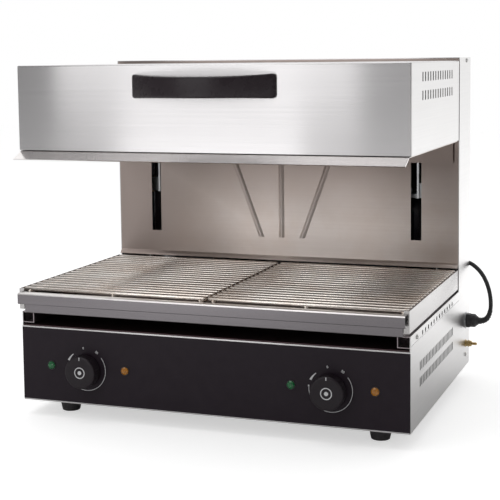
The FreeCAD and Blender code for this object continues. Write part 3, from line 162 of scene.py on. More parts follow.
def tubeAlong(name, path, radius, finish, sides=16, closed=False):
    # a round tube on a fine path, carried along without twist
    points, faces = [], []
    path = [Vector(p) for p in path]
    tangents = []
    for index in range(len(path)):
        ahead = path[min(index + 1, len(path) - 1)]
        behind = path[max(index - 1, 0)]
        tangents.append((ahead - behind).normalized())
    normal = tangents[0].orthogonal().normalized()
    for index, (spot, along) in enumerate(zip(path, tangents)):
        normal = (normal - along * normal.dot(along)).normalized()
        other = along.cross(normal)
        size = radius(index / (len(path) - 1)) if callable(radius) else radius
        for side in range(sides):
            angle = 2 * math.pi * side / sides
            points.append(spot + (normal * math.cos(angle) + other * math.sin(angle)) * size)
    for ring in range(len(path) - 1):
        for side in range(sides):
            a, b = ring * sides + side, ring * sides + (side + 1) % sides
            faces.append((a, b, b + sides, a + sides))
    faces.append([side for side in range(sides)][::-1])
    faces.append([(len(path) - 1) * sides + side for side in range(sides)])
    return meshPiece(name, points, faces, finish, 40)


def settle(piece, body, slot, *replaced):
    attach(piece, body)
    if replaced:
        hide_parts(*replaced)
    return piece


# geometry trees for what repeats

def startTree(name, sockets):
    tree = bpy.data.node_groups.new(name, "GeometryNodeTree")
    tree.is_modifier = True
    for label, kind in sockets:
        tree.interface.new_socket(name=label, in_out="INPUT", socket_type="NodeSocket" + kind)
    tree.interface.new_socket(name="Geometry", in_out="OUTPUT", socket_type="NodeSocketGeometry")
    return tree, joinNode(tree, "NodeGroupInput"), joinNode(tree, "NodeGroupOutput")


def endTree(tree, given, out, result):
    real = joinNode(tree, "GeometryNodeRealizeInstances")
    paint = joinNode(tree, "GeometryNodeSetMaterial")
    wire(tree, result, real.inputs["Geometry"])
    wire(tree, real.outputs["Geometry"], paint.inputs["Geometry"])
    wire(tree, given.outputs["Finish"], paint.inputs["Material"])
    wire(tree, paint.outputs["Geometry"], out.inputs["Geometry"])
    return tree


def rowTree():
    # the given shape again and again, one step apart
    tree, given, out = startTree("rowOfShapes", (("Geometry", "Geometry"), ("Count", "Int"),
                                                 ("Step", "Vector"), ("Finish", "Material")))
    line = joinNode(tree, "GeometryNodeMeshLine")
    wire(tree, given.outputs["Count"], line.inputs["Count"])
    wire(tree, given.outputs["Step"], line.inputs["Offset"])
    put = joinNode(tree, "GeometryNodeInstanceOnPoints")
    wire(tree, line.outputs["Mesh"], put.inputs["Points"])
    wire(tree, given.outputs["Geometry"], put.inputs["Instance"])
    return endTree(tree, given, out, put.outputs["Instances"])


def spotTree():
    # one shape on each point, turned by the point's own angles
    tree, given, out = startTree("shapeOnSpots", (("Geometry", "Geometry"), ("Shape", "Object"),
                                                  ("Finish", "Material")))
    shape = joinNode(tree, "GeometryNodeObjectInfo")
    wire(tree, given.outputs["Shape"], shape.inputs["Object"])
    look = joinNode(tree, "GeometryNodeInputNamedAttribute", data_type="FLOAT_VECTOR")
    look.inputs["Name"].default_value = "look"
    turn = joinNode(tree, "FunctionNodeEulerToRotation")
    wire(tree, look.outputs["Attribute"], turn.inputs[0])
    put = joinNode(tree, "GeometryNodeInstanceOnPoints")
    wire(tree, given.outputs["Geometry"], put.inputs["Points"])
    wire(tree, shape.outputs["Geometry"], put.inputs["Instance"])
    wire(tree, turn.outputs[0], put.inputs["Rotation"])
    return endTree(tree, given, out, put.outputs["Instances"])


def grown(name, seed, tree, values, sharpAngle=32):
    # the tree's result as a plain mesh; the seed object goes
    modifier = seed.modifiers.new("grow", "NODES")
    modifier.node_group = tree
    for socket in tree.interface.items_tree:
        if socket.item_type == "SOCKET" and socket.in_out == "INPUT" and socket.name in values:
            modifier[socket.identifier] = values[socket.name]
    bpy.context.view_layer.update()
    graph = bpy.context.evaluated_depsgraph_get()
    mesh = bpy.data.meshes.new_from_object(seed.evaluated_get(graph), depsgraph=graph)
    mesh.name = name
    bpy.data.objects.remove(seed)
    piece = bpy.data.objects.new(name, mesh)
    bpy.context.scene.collection.objects.link(piece)
    smoothShade(mesh, sharpAngle)
    return piece


def row(name, shape, count, step, sharpAngle=32):
    finish = shape.data.materials[0]
    return grown(name, shape, rows, {"Count": count, "Step": step, "Finish": finish}, sharpAngle)


def onSpots(name, shape, spots, sharpAngle=32):
    # spots are (place, angles) pairs
    mesh = bpy.data.meshes.new(name + "Spots")
    mesh.from_pydata([place for place, _ in spots], [], [])
    look = mesh.attributes.new("look", "FLOAT_VECTOR", "POINT")
    for item, (_, angles) in zip(look.data, spots):
        item.vector = angles
    seed = bpy.data.objects.new(name + "Spots", mesh)
    bpy.context.scene.collection.objects.link(seed)
    piece = grown(name, seed, spotShapes, {"Shape": shape, "Finish": shape.data.materials[0]}, sharpAngle)
    bpy.data.objects.remove(shape)
    return piece


def ropeTree():
    # strands laid round each given line
    tree, given, out = startTree("laidStrands", (("Geometry", "Geometry"), ("Strands", "Int"),
                                                 ("Lay", "Float"), ("Reach", "Float"),
                                                 ("Strand Radius", "Float"), ("Finish", "Material")))
    line = joinNode(tree, "GeometryNodeMeshToCurve")
    wire(tree, given.outputs["Geometry"], line.inputs["Mesh"])
    copies = joinNode(tree, "GeometryNodeDuplicateElements", domain="SPLINE")
    wire(tree, line.outputs["Curve"], copies.inputs["Geometry"])
    wire(tree, given.outputs["Strands"], copies.inputs["Amount"])
    share = plus(tree, copies.outputs["Duplicate Index"], given.outputs["Strands"], "DIVIDE")
    along = joinNode(tree, "GeometryNodeSplineParameter")
    turns = plus(tree, along.outputs["Length"], given.outputs["Lay"], "DIVIDE")
    angle = plus(tree, plus(tree, share, turns), 2 * math.pi, "MULTIPLY")
    normal = joinNode(tree, "GeometryNodeInputNormal")
    tangent = joinNode(tree, "GeometryNodeInputTangent")
    other = joinNode(tree, "ShaderNodeVectorMath", operation="CROSS_PRODUCT")
    wire(tree, tangent.outputs[0], other.inputs[0])
    wire(tree, normal.outputs[0], other.inputs[1])
    sides = []
    for way, kind in ((normal.outputs[0], "COSINE"), (other.outputs[0], "SINE")):
        size = plus(tree, plus(tree, angle, 0, kind), given.outputs["Reach"], "MULTIPLY")
        scale = joinNode(tree, "ShaderNodeVectorMath", operation="SCALE")
        wire(tree, way, scale.inputs[0])
        wire(tree, size, scale.inputs["Scale"])
        sides.append(scale.outputs[0])
    both = joinNode(tree, "ShaderNodeVectorMath", operation="ADD")
    wire(tree, sides[0], both.inputs[0])
    wire(tree, sides[1], both.inputs[1])
    put = joinNode(tree, "GeometryNodeSetPosition")
    wire(tree, copies.outputs["Geometry"], put.inputs["Geometry"])
    wire(tree, both.outputs[0], put.inputs["Offset"])
    ring = joinNode(tree, "GeometryNodeCurvePrimitiveCircle")
    ring.inputs["Resolution"].default_value = 6
    wire(tree, given.outputs["Strand Radius"], ring.inputs["Radius"])
    skin = joinNode(tree, "GeometryNodeCurveToMesh")
    skin.inputs["Fill Caps"].default_value = True
    wire(tree, put.outputs["Geometry"], skin.inputs["Curve"])
    wire(tree, ring.outputs["Curve"], skin.inputs["Profile Curve"])
    return endTree(tree, given, out, skin.outputs["Mesh"])


rows = rowTree()
laidStrands = ropeTree()
spotShapes = spotTree()
print("trees ready")


# camera, at the photograph's viewing angle

cameraView = {"place": (0.6769, -1.87163, 0.51474), "yaw": 20.148, "pitch": -5.526, "roll": -0.627,
              "lens": 90.815, "shift": -0.14}


def setCamera(view):
    lens = bpy.data.cameras.new("viewCamera")
    camera = bpy.data.objects.new("viewCamera", lens)
    bpy.context.scene.collection.objects.link(camera)
    yaw, pitch, roll = (math.radians(view[key]) for key in ("yaw", "pitch", "roll"))
    ahead = Vector((-math.sin(yaw) * math.cos(pitch), math.cos(yaw) * math.cos(pitch), math.sin(pitch)))
    right = Vector((math.cos(yaw), math.sin(yaw), 0))
    up = right.cross(ahead)
    across = right * math.cos(roll) + up * math.sin(roll)
    upright = up * math.cos(roll) - right * math.sin(roll)
    turn = Matrix((across, upright, -ahead)).transposed().to_4x4()
    camera.matrix_world = Matrix.Translation(view["place"]) @ turn
    lens.lens = view["lens"]
    lens.sensor_width = 36
    lens.shift_y = view["shift"]
    lens.clip_start = 0.05
    lens.clip_end = 60
    bpy.context.scene.camera = camera


# studio: pale floor, a white surround and soft lamps

studio = {"floorLevel": -0.024, "floorSize": 14, "floorColour": 0.80, "floorLift": 0.55,
          "frontAir": 0.28, "backAir": 1.02,
          "farShine": 1.0, "nearShine": 0.4, "backShine": 0.85,
          "strip": {"place": (-0.41, -1.2, 0.88), "aim": (-0.41, 0, 0.88), "size": (0.74, 0.90),
                    "watts": 2.45},
          "low": {"place": (-0.42, -1.25, 0.155), "aim": (-0.42, 0, 0.155), "size": (0.46, 0.26),
                  "watts": 0.62},
          "top": {"place": (-0.35, -0.6, 2.4), "aim": (0, 0, 0.3), "size": (2.0, 1.6), "watts": 15.0}}


def setWorld(room):
    world = bpy.data.worlds.new("studioAir")
    bpy.context.scene.world = world
    world.use_nodes = True
    tree = world.node_tree
    tree.nodes.clear()
    way = joinNode(tree, "ShaderNodeTexCoord")
    split = joinNode(tree, "ShaderNodeSeparateXYZ")
    wire(tree, way.outputs["Generated"], split.inputs[0])
    ramp = joinNode(tree, "ShaderNodeMapRange", interpolation_type="SMOOTHSTEP")
    wire(tree, split.outputs["Y"], ramp.inputs["Value"])
    ramp.inputs["From Min"].default_value = -0.15
    ramp.inputs["From Max"].default_value = 0.55
    ramp.inputs["To Min"].default_value = room["frontAir"]
    ramp.inputs["To Max"].default_value = room["backAir"]
    around = joinNode(tree, "ShaderNodeBackground")
    wire(tree, ramp.outputs["Result"], around.inputs["Color"])
    white = joinNode(tree, "ShaderNodeBackground")
    white.inputs["Color"].default_value = (1, 1, 1, 1)
    rays = joinNode(tree, "ShaderNodeLightPath")
    pick = joinNode(tree, "ShaderNodeMath", operation="MAXIMUM")
    wire(tree, rays.outputs["Is Camera Ray"], pick.inputs[0])
    wire(tree, rays.outputs["Is Transmission Ray"], pick.inputs[1])
    mix = joinNode(tree, "ShaderNodeMixShader")
    wire(tree, pick.outputs[0], mix.inputs[0])
    wire(tree, around.outputs[0], mix.inputs[1])
    wire(tree, white.outputs[0], mix.inputs[2])
    out = joinNode(tree, "ShaderNodeOutputWorld")
    wire(tree, mix.outputs[0], out.inputs[0])


def setFloor(room):
    half = room["floorSize"] / 2
    mesh = bpy.data.meshes.new("studioFloor")
    mesh.from_pydata([(-half, -half, 0), (half, -half, 0), (half, half, 0), (-half, half, 0)], [],
                     [(0, 1, 2, 3)])
    floor = bpy.data.objects.new("studioFloor", mesh)
    bpy.context.scene.collection.objects.link(floor)
    floor.location.z = room["floorLevel"] - 0.0002
    paint = bpy.data.materials.new("paleFloor")
    paint.use_nodes = True
    tree = paint.node_tree
    tree.nodes.clear()
    matt = joinNode(tree, "ShaderNodeBsdfDiffuse")
    matt.inputs["Color"].default_value = (room["floorColour"],) * 3 + (1,)
    glow = joinNode(tree, "ShaderNodeEmission")
    rays = joinNode(tree, "ShaderNodeLightPath")
    seen = plus(tree, rays.outputs["Is Camera Ray"], room["floorLift"], "MULTIPLY")
    spot = joinNode(tree, "ShaderNodeTexCoord")
    split = joinNode(tree, "ShaderNodeSeparateXYZ")
    wire(tree, spot.outputs["Object"], split.inputs[0])
    x, y = split.outputs["X"], split.outputs["Y"]
    # the metal sees a pale floor far off in front, to the left and behind
    far = plus(tree, spread(tree, y, 1, 0, -1.8, -1.2), spread(tree, x, 0, 1, -1.25, -0.85), "MULTIPLY")
    far = plus(tree, far, spread(tree, y, 0, 1, -3.2, -2.6), "MULTIPLY")
    near = plus(tree, spread(tree, y, 0, 1, -1.8, -1.4), spread(tree, y, 1, 0, -0.3, 0), "MULTIPLY")
    near = plus(tree, near, spread(tree, x, 1, 0, -0.95, -0.35), "MULTIPLY")
    back = plus(tree, spread(tree, y, 0, 1, 0.1, 0.9), room["backShine"], "MULTIPLY")
    shine = plus(tree, plus(tree, far, room["farShine"], "MULTIPLY"),
                 plus(tree, near, room["nearShine"], "MULTIPLY"))
    shine = plus(tree, plus(tree, shine, back), rays.outputs["Is Glossy Ray"], "MULTIPLY")
    wire(tree, plus(tree, seen, shine), glow.inputs["Strength"])
    both = joinNode(tree, "ShaderNodeAddShader")
    wire(tree, matt.outputs[0], both.inputs[0])
    wire(tree, glow.outputs[0], both.inputs[1])
    out = joinNode(tree, "ShaderNodeOutputMaterial")
    wire(tree, both.outputs[0], out.inputs[0])
    mesh.materials.append(paint)


def setLamp(name, lamp):
    light = bpy.data.lights.new(name, "AREA")
    light.shape = "RECTANGLE"
    light.size, light.size_y = lamp["size"]
    light.energy = lamp["watts"]
    holder = bpy.data.objects.new(name, light)
    bpy.context.scene.collection.objects.link(holder)
    holder.location = lamp["place"]
    toward = Vector(lamp["aim"]) - Vector(lamp["place"])
    holder.rotation_euler = toward.to_track_quat("-Z", "Y").to_euler()
    holder.visible_camera = False


setCamera(cameraView)
setWorld(studio)
setFloor(studio)
setLamp("stripLamp", studio["strip"])
setLamp("lowLamp", studio["low"])
setLamp("topLamp", studio["top"])
bpy.context.scene.view_settings.view_transform = "Standard"
print("camera and studio set")


# finishes

def blank(name):
    finish = bpy.data.materials.new(name)
    finish.use_nodes = True
    return finish, finish.node_tree, finish.node_tree.nodes["Principled BSDF"]


def field(tree, stretch, detail=3.0, rough=0.55, shift=(0, 0, 0)):
    # noise over Object coordinates, stretched along the axes (cells per metre)
    spot = joinNode(tree, "ShaderNodeTexCoord")
    stretching = joinNode(tree, "ShaderNodeMapping")
    stretching.inputs["Scale"].default_value = stretch
    stretching.inputs["Location"].default_value = shift
    wire(tree, spot.outputs["Object"], stretching.inputs["Vector"])
    noise = joinNode(tree, "ShaderNodeTexNoise")
    noise.inputs["Scale"].default_value = 1
    noise.inputs["Detail"].default_value = detail
    noise.inputs["Roughness"].default_value = rough
    wire(tree, stretching.outputs["Vector"], noise.inputs["Vector"])
    return noise.outputs["Fac"]


def blendColour(tree, share, first, second):
    mix = joinNode(tree, "ShaderNodeMix", data_type="RGBA")
    for index, item in ((6, first), (7, second)):
        if isinstance(item, tuple):
            mix.inputs[index].default_value = item + (1,)
        else:
            wire(tree, item, mix.inputs[index])
    wire(tree, share, mix.inputs["Factor"])
    return mix.outputs[2]


def addBump(tree, shader, height, depth, strength=1.0):
    bump = joinNode(tree, "ShaderNodeBump")
    bump.inputs["Strength"].default_value = strength
    bump.inputs["Distance"].default_value = depth
    wire(tree, height, bump.inputs["Height"])
    wire(tree, bump.outputs["Normal"], shader.inputs["Normal"])


def steel(name, tone, grain="x", gloss=0.25, brushing=0.85, stain=None, stainShare=0.0, paintedShade=None):
    # rolled and brushed sheet: fine lines along the grain, faint broad smears; paintedShade darkens the
    # colour high up and over the left end as painted shade
    finish, tree, shader = blank(name)
    long, fine, broad = 5, 2600, 380
    stretches = {"x": ((long, fine, fine), (3, broad, broad)), "y": ((fine, long, fine), (broad, 3, broad)),
                 "z": ((fine, fine, long), (broad, broad, 3))}[grain]
    lines = field(tree, stretches[0], 2.0, 0.6)
    bands = field(tree, stretches[1], 2.0, 0.5, (3, 1, 2))
    smear = field(tree, (6, 6, 9), 3.0, 0.5, (7, 2, 5))
    dark = tuple(channel * 0.975 for channel in tone)
    light = tuple(min(1.0, channel * 1.015) for channel in tone)
    colour = blendColour(tree, spread(tree, bands, 0, 1), dark, light)
    if stain:
        patches = field(tree, (9, 9, 9), 4.0, 0.6, (1, 8, 4))
        colour = blendColour(tree, spread(tree, patches, 0, stainShare, 0.42, 0.68), colour, stain)
    if paintedShade:
        # painted shade standing in for the head's shadow on the column: strongest high up and over the left
        # end
        low, high, shadeTint = paintedShade
        spot = joinNode(tree, "ShaderNodeTexCoord")
        split = joinNode(tree, "ShaderNodeSeparateXYZ")
        wire(tree, spot.outputs["Object"], split.inputs[0])
        share = plus(tree, spread(tree, split.outputs["Z"], 0, 1, low, high),
                     spread(tree, split.outputs["X"], 1, 0, -0.24, -0.06), "MAXIMUM")
        colour = blendColour(tree, share, colour, shadeTint)
    wire(tree, colour, shader.inputs["Base Color"])
    shader.inputs["Metallic"].default_value = 1
    rough = plus(tree, spread(tree, smear, gloss - 0.015, gloss + 0.03), spread(tree, lines, -0.012, 0.02))
    wire(tree, rough, shader.inputs["Roughness"])
    if brushing:
        shader.inputs["Anisotropic"].default_value = brushing
        shader.inputs["Anisotropic Rotation"].default_value = 0.25
        way = joinNode(tree, "ShaderNodeTangent", direction_type="RADIAL", axis="Z")
        wire(tree, way.outputs["Tangent"], shader.inputs["Tangent"])
    addBump(tree, shader, lines, 0.00001, 0.12)
    return finish


def metal(name, tone, gloss, stain=None, stainShare=0.5, grainSize=240, depth=0.00004):
    finish, tree, shader = blank(name)
    cloud = field(tree, (60, 60, 60), 4.0, 0.6)
    grain = field(tree, (grainSize,) * 3, 3.0, 0.6, (2, 5, 1))
    dark = tuple(channel * 0.86 for channel in tone)
    colour = blendColour(tree, spread(tree, cloud, 0, 1), tone, dark)
    if stain:
        patches = field(tree, (28, 16, 28), 4.0, 0.62, (4, 4, 9))
        colour = blendColour(tree, spread(tree, patches, 0, stainShare, 0.38, 0.66), colour, stain)
    wire(tree, colour, shader.inputs["Base Color"])
    shader.inputs["Metallic"].default_value = 1
    wire(tree, spread(tree, grain, gloss - 0.04, gloss + 0.08), shader.inputs["Roughness"])
    addBump(tree, shader, grain, depth, 0.35)
    return finish


def moulded(name, tone, gloss, grainSize=1400, depth=0.00003, wear=0.3, specular=0.5):
    # plastic or rubber: fine spark-eroded grain, slight greying where it is handled
    finish, tree, shader = blank(name)
    grain = field(tree, (grainSize,) * 3, 2.0, 0.6)
    cloud = field(tree, (45, 45, 45), 4.0, 0.6, (3, 6, 2))
    pale = tuple(channel + (0.5 - channel) * 0.08 * wear for channel in tone)
    wire(tree, blendColour(tree, spread(tree, cloud, 0, 1), tone, pale), shader.inputs["Base Color"])
    wire(tree, spread(tree, cloud, gloss - 0.05, gloss + 0.07), shader.inputs["Roughness"])
    shader.inputs["Specular IOR Level"].default_value = specular
    addBump(tree, shader, grain, depth, 0.5)
    return finish


def lensFinish(name, tone):
    finish, tree, shader = blank(name)
    cloud = field(tree, (300, 300, 300), 2.0, 0.5)
    dark = tuple(channel * 0.7 for channel in tone)
    wire(tree, blendColour(tree, spread(tree, cloud, 0, 1), tone, dark), shader.inputs["Base Color"])
    shader.inputs["Roughness"].default_value = 0.12
    shader.inputs["Transmission Weight"].default_value = 0.35
    shader.inputs["IOR"].default_value = 1.49
    shader.inputs["Coat Weight"].default_value = 0.5
    return finish


def printFinish(name):
    finish, tree, shader = blank(name)
    cloud = field(tree, (900, 900, 900), 2.0, 0.5)
    wire(tree, blendColour(tree, spread(tree, cloud, 0, 1), (0.74, 0.74, 0.75), (0.62, 0.62, 0.64)),
         shader.inputs["Base Color"])
    shader.inputs["Roughness"].default_value = 0.5
    return finish


def fibreFinish(name):
    finish, tree, shader = blank(name)
    threads = field(tree, (900, 120, 900), 5.0, 0.7)
    clumps = field(tree, (120, 120, 120), 4.0, 0.6, (2, 2, 8))
    wire(tree, blendColour(tree, spread(tree, clumps, 0, 1), (0.86, 0.85, 0.80), (0.70, 0.68, 0.62)),
         shader.inputs["Base Color"])
    shader.inputs["Roughness"].default_value = 0.95
    addBump(tree, shader, plus(tree, threads, clumps), 0.0012, 0.8)
    return finish


skinSteel = steel("skinSteel", (0.655, 0.64, 0.645), "x", 0.20, 0.95)
sideSteel = steel("sideSteel", (0.69, 0.68, 0.675), "y", 0.30, 0.75)
# the column's bright warm tone is a painted reflection of the warm racks and interior; its stain patches are
# real, and the last value is painted shade, strongest high up and over the left end
columnShadeSteel = steel("columnShadeSteel", (0.99, 0.895, 0.845), "x", 0.36, 1.0, (0.80, 0.64, 0.54), 0.4,
                    (0.24, 0.34, (0.51, 0.425, 0.39)))
plainSteel = steel("plainSteel", (0.58, 0.56, 0.545), "x", 0.34, 0.0)
frameSteel = steel("frameSteel", (0.52, 0.505, 0.50), "x", 0.24, 0.0)
# the tray inside is darkened to dark brown as painted shade under the racks, with real stain patches
trayShadeInside = steel("trayShadeInside", (0.16, 0.115, 0.095), "x", 0.30, 0.0, (0.07, 0.045, 0.035), 0.7)
# the tray's front face is a darker copy of the steel: painted shade
lipShadeGrey = steel("lipShadeGrey", (0.215, 0.20, 0.21), "x", 0.22, 0.0)
# the tray's up-facing top rim is a bright copy of the steel: painted highlight
rimHighlightSteel = steel("rimHighlightSteel", (0.92, 0.89, 0.88), "x", 0.30, 0.0)
# the reflector's front lip is a bright copy of its steel: painted highlight, without the reflector's stain
lipHighlightSteel = steel("lipHighlightSteel", (0.93, 0.90, 0.885), "x", 0.20, 0.0)
# the heat shield is darkened to brown-black as painted shade inside the crumb slot, with real stain patches
shieldShadeSteel = steel("shieldShadeSteel", (0.13, 0.085, 0.092), "x", 0.50, 0.0, (0.10, 0.065, 0.065), 0.5)
railSteel = steel("railSteel", (0.42, 0.37, 0.385), "y", 0.40, 0.0, (0.20, 0.16, 0.16), 0.5)
reflectorSteel = steel("reflectorSteel", (0.66, 0.62, 0.59), "x", 0.28, 0.0, (0.24, 0.18, 0.13), 0.6)
wireChrome = steel("wireChrome", (1.0, 0.93, 0.87), "x", 0.20, 0.0, (0.60, 0.45, 0.35), 0.5)
sheath = metal("elementSheath", (0.16, 0.15, 0.145), 0.48, (0.24, 0.18, 0.13), 0.5, 900, 0.00008)
zincSteel = metal("zincSteel", (0.56, 0.57, 0.58), 0.34)
brightScrew = metal("brightScrew", (0.70, 0.69, 0.68), 0.26)
rodChrome = metal("rodChrome", (0.80, 0.80, 0.81), 0.10)
bronze = metal("sinteredBronze", (0.58, 0.40, 0.20), 0.42, (0.35, 0.24, 0.13), 0.4, 1600, 0.00006)
castIron = metal("castIron", (0.14, 0.14, 0.15), 0.62, (0.08, 0.08, 0.085), 0.5, 700, 0.0003)
brass = metal("machinedBrass", (0.70, 0.52, 0.24), 0.24, (0.45, 0.31, 0.13), 0.5)
ropeSteel = metal("ropeSteel", (0.50, 0.50, 0.51), 0.36)
coverBlack = moulded("coverBlack", (0.0185, 0.0120, 0.0180), 0.38, 1600, 0.000012, 0.1, 0.18)
handleBlack = moulded("handleBlack", (0.019, 0.012, 0.016), 0.27, 1300, 0.00001, 0.15, 0.30)
knobBlack = moulded("knobBlack", (0.013, 0.008, 0.012), 0.36, 1500, 0.00002, 0.15, 0.3)
footRubber = moulded("footRubber", (0.050, 0.045, 0.048), 0.62, 900, 0.00005, 0.6)
glandBlack = moulded("glandBlack", (0.022, 0.021, 0.023), 0.42, 1300, 0.00003, 0.4)
leadBlack = moulded("leadBlack", (0.020, 0.019, 0.021), 0.45, 1700, 0.00003, 0.6)
bandCloth = moulded("bandCloth", (0.024, 0.023, 0.026), 0.85, 2200, 0.0002, 0.8, 0.2)
nylonWhite = moulded("nylonWhite", (0.82, 0.81, 0.76), 0.40, 1200, 0.00003, 0.2)
caseCream = moulded("caseCream", (0.78, 0.74, 0.64), 0.55, 1200, 0.00003, 0.2)
ceramic = moulded("terminalCeramic", (0.85, 0.83, 0.77), 0.35, 800, 0.00003, 0.1)
lensGreen = lensFinish("lensGreen", (0.005, 0.22, 0.06))
lensAmber = lensFinish("lensAmber", (0.74, 0.28, 0.012))
whitePrint = printFinish("whitePrint")
fibre = fibreFinish("ceramicFibre")
print("finishes made")


# every CAD node gets its finish; the pieces further on replace some of the nodes
finishOf = {
    "skin_steel": skinSteel, "column_steel": columnShadeSteel, "chassis_steel": plainSteel,
    "frame_steel": frameSteel, "rack_wire": wireChrome, "reflector_steel": reflectorSteel,
    "insulation": fibre, "element_sheath": sheath, "strap_steel": plainSteel, "cover_black": coverBlack,
    "handle_black": handleBlack, "knob_black": knobBlack, "spindle_steel": zincSteel,
    "fastener_steel": brightScrew, "foot_rubber": footRubber, "rod_chrome": rodChrome,
    "bushing_bronze": bronze, "lift_steel": zincSteel, "pulley_nylon": nylonWhite,
    "weight_iron": castIron, "rope_steel": ropeSteel, "thermostat_case": caseCream,
    "lens_green": lensGreen, "lens_amber": lensAmber, "lamp_body": glandBlack,
    "gland_black": glandBlack, "stud_brass": brass, "terminal_ceramic": ceramic,
    "lead_black": leadBlack, "plug_black": leadBlack, "pin_brass": brass, "tie_black": glandBlack,
}
# the drip tray and heat shield take darkened steel as painted shade
ownFinish = {"side_panel_left": sideSteel, "side_panel_right": sideSteel, "drip_tray": trayShadeInside,
             "heat_shield": shieldShadeSteel, "support_rail_left": railSteel,
             "support_rail_right": railSteel}


def paintNodes():
    for row in frame["record"]["subparts"]:
        node = nodes[row["node"]]
        finish = ownFinish.get(row["node"], finishOf[row["material_slot"]])
        if not node.data.materials:
            node.data.materials.append(finish)
        for holder in node.material_slots:
            holder.material = finish


paintNodes()
print("CAD nodes painted")


# mains lead: one smooth line from the gland over the clip and down into its coil

lead = {
    "diameter": 0.007,
    "route": [(321, 191, 77), (330, 191, 77), (338, 191.5, 85), (341, 195, 101), (338.5, 200, 121),
              (331, 207, 141), (318, 216, 158), (298, 225, 170), (275, 230, 170), (257, 232, 155),
              (250, 234, 131), (249, 235.5, 106), (249.5, 236.5, 82), (250, 237.5, 60), (250, 237.5, 40),
              (250, 238, 20), (250, 245.7, 2.4), (250, 259.8, -11.7), (250, 278.3, -19.4)],
    "coilMiddle": (204, 298.3, -19.4), "coilRadius": 46.0, "pitch": 7.7, "layer": 7.7,
    "pointsPerTurn": 16, "quarters": 17, "straight": 18.0, "length": 1.392,
}


def coilPoints(cord):
    # two layers: in along the floor, up at the tightest turn and out again on top
    points = []
    steps = cord["quarters"] * cord["pointsPerTurn"] // 4
    ease = 1 / math.cos(math.pi / cord["pointsPerTurn"])
    for step in range(steps + 1):
        quarter = 4 * step / cord["pointsPerTurn"]
        inward = min(quarter, 18 - quarter)
        if quarter > 16:
            inward = 2 - 2 * (quarter - 16)
        reach = (cord["coilRadius"] - cord["pitch"] * inward / 4) * ease
        climb = min(1, max(0, (quarter - 8) / 2))
        angle = math.pi / 2 * quarter
        points.append((cord["coilMiddle"][0] + reach * math.cos(angle),
                       cord["coilMiddle"][1] + reach * math.sin(angle),
                       cord["coilMiddle"][2] + cord["layer"] * climb))
    return points


def makeLead(cord):
    turns = coilPoints(cord)
    last = turns[-1]
    points = cord["route"] + turns + [(last[0] - cord["straight"] * share, last[1], last[2])
                                      for share in (0.4, 1.0)]
    curve = bpy.data.curves.new("mainsCord", "CURVE")
    curve.dimensions = "3D"
    spline = curve.splines.new("NURBS")
    spline.points.add(len(points) - 1)
    for point, spot in zip(spline.points, points):
        point.co = (spot[0] * mm, spot[1] * mm, spot[2] * mm, 1)
    spline.order_u = 3
    spline.use_endpoint_u = True
    spline.resolution_u = 8
    curve.bevel_depth = cord["diameter"] / 2
    curve.bevel_resolution = 5
    curve.use_fill_caps = True
    curve.materials.append(leadBlack)
    piece = bpy.data.objects.new("mainsCord", curve)
    bpy.context.scene.collection.objects.link(piece)
    return settle(piece, "housing", "lead_black", "mains_lead", "lead_coil")


def leadLine(curve):
    # points read off the lead's own spline, with its thickness taken away
    bare = curve.copy()
    bare.bevel_depth = 0
    holder = bpy.data.objects.new("bareLead", bare)
    bpy.context.scene.collection.objects.link(holder)
    bpy.context.view_layer.update()
    graph = bpy.context.evaluated_depsgraph_get()
    mesh = bpy.data.meshes.new_from_object(holder.evaluated_get(graph), depsgraph=graph)
    line = [vertex.co.copy() for vertex in mesh.vertices]
    bpy.data.objects.remove(holder)
    bpy.data.curves.remove(bare)
    bpy.data.meshes.remove(mesh)
    return line


sleeve = {"long": 30.0, "thick": 5.6, "thin": 3.9, "grooves": 6, "groove": 0.7, "steps": 96}


def makeSleeve(part, line):
    # a ribbed sleeve that tapers along the lead where it leaves the gland
    reach, spots = 0.0, [line[0]]
    for before, after in zip(line, line[1:]):
        reach += (after - before).length
        spots.append(after)
        if reach > part["long"] * mm:
            break
    lengths = [0.0]
    for before, after in zip(spots, spots[1:]):
        lengths.append(lengths[-1] + (after - before).length)
    path = []
    for step in range(part["steps"] + 1):
        want = part["long"] * mm * step / part["steps"]
        index = max(i for i, reach in enumerate(lengths[:-1]) if reach <= want)
        share = (want - lengths[index]) / (lengths[index + 1] - lengths[index])
        path.append(spots[index].lerp(spots[index + 1], share))

    def thickness(share):
        size = part["thick"] + (part["thin"] - part["thick"]) * share
        if 0.12 < share < 0.9:
            wave = math.cos(2 * math.pi * part["grooves"] * (share - 0.12) / 0.78)
            size -= part["groove"] * max(0, -wave) ** 0.7
        return max(size, 3.7) * mm
    piece = tubeAlong("leadSleeve", path, thickness, glandBlack, 28)
    return settle(piece, "housing", "gland_black")


def rounded(wide, tall, corner, count=12):
    # a rounded rectangle as (u, v) pairs, the same number of points in every corner
    corner = min(corner, wide / 2 - 0.01, tall / 2 - 0.01)
    loop = []
    for quarter, (su, sv) in enumerate(((1, 1), (-1, 1), (-1, -1), (1, -1))):
        for step in range(count):
            angle = math.pi / 2 * (quarter + step / (count - 1))
            loop.append((su * (wide / 2 - corner) + corner * math.cos(angle),
                         sv * (tall / 2 - corner) + corner * math.sin(angle)))
    return loop


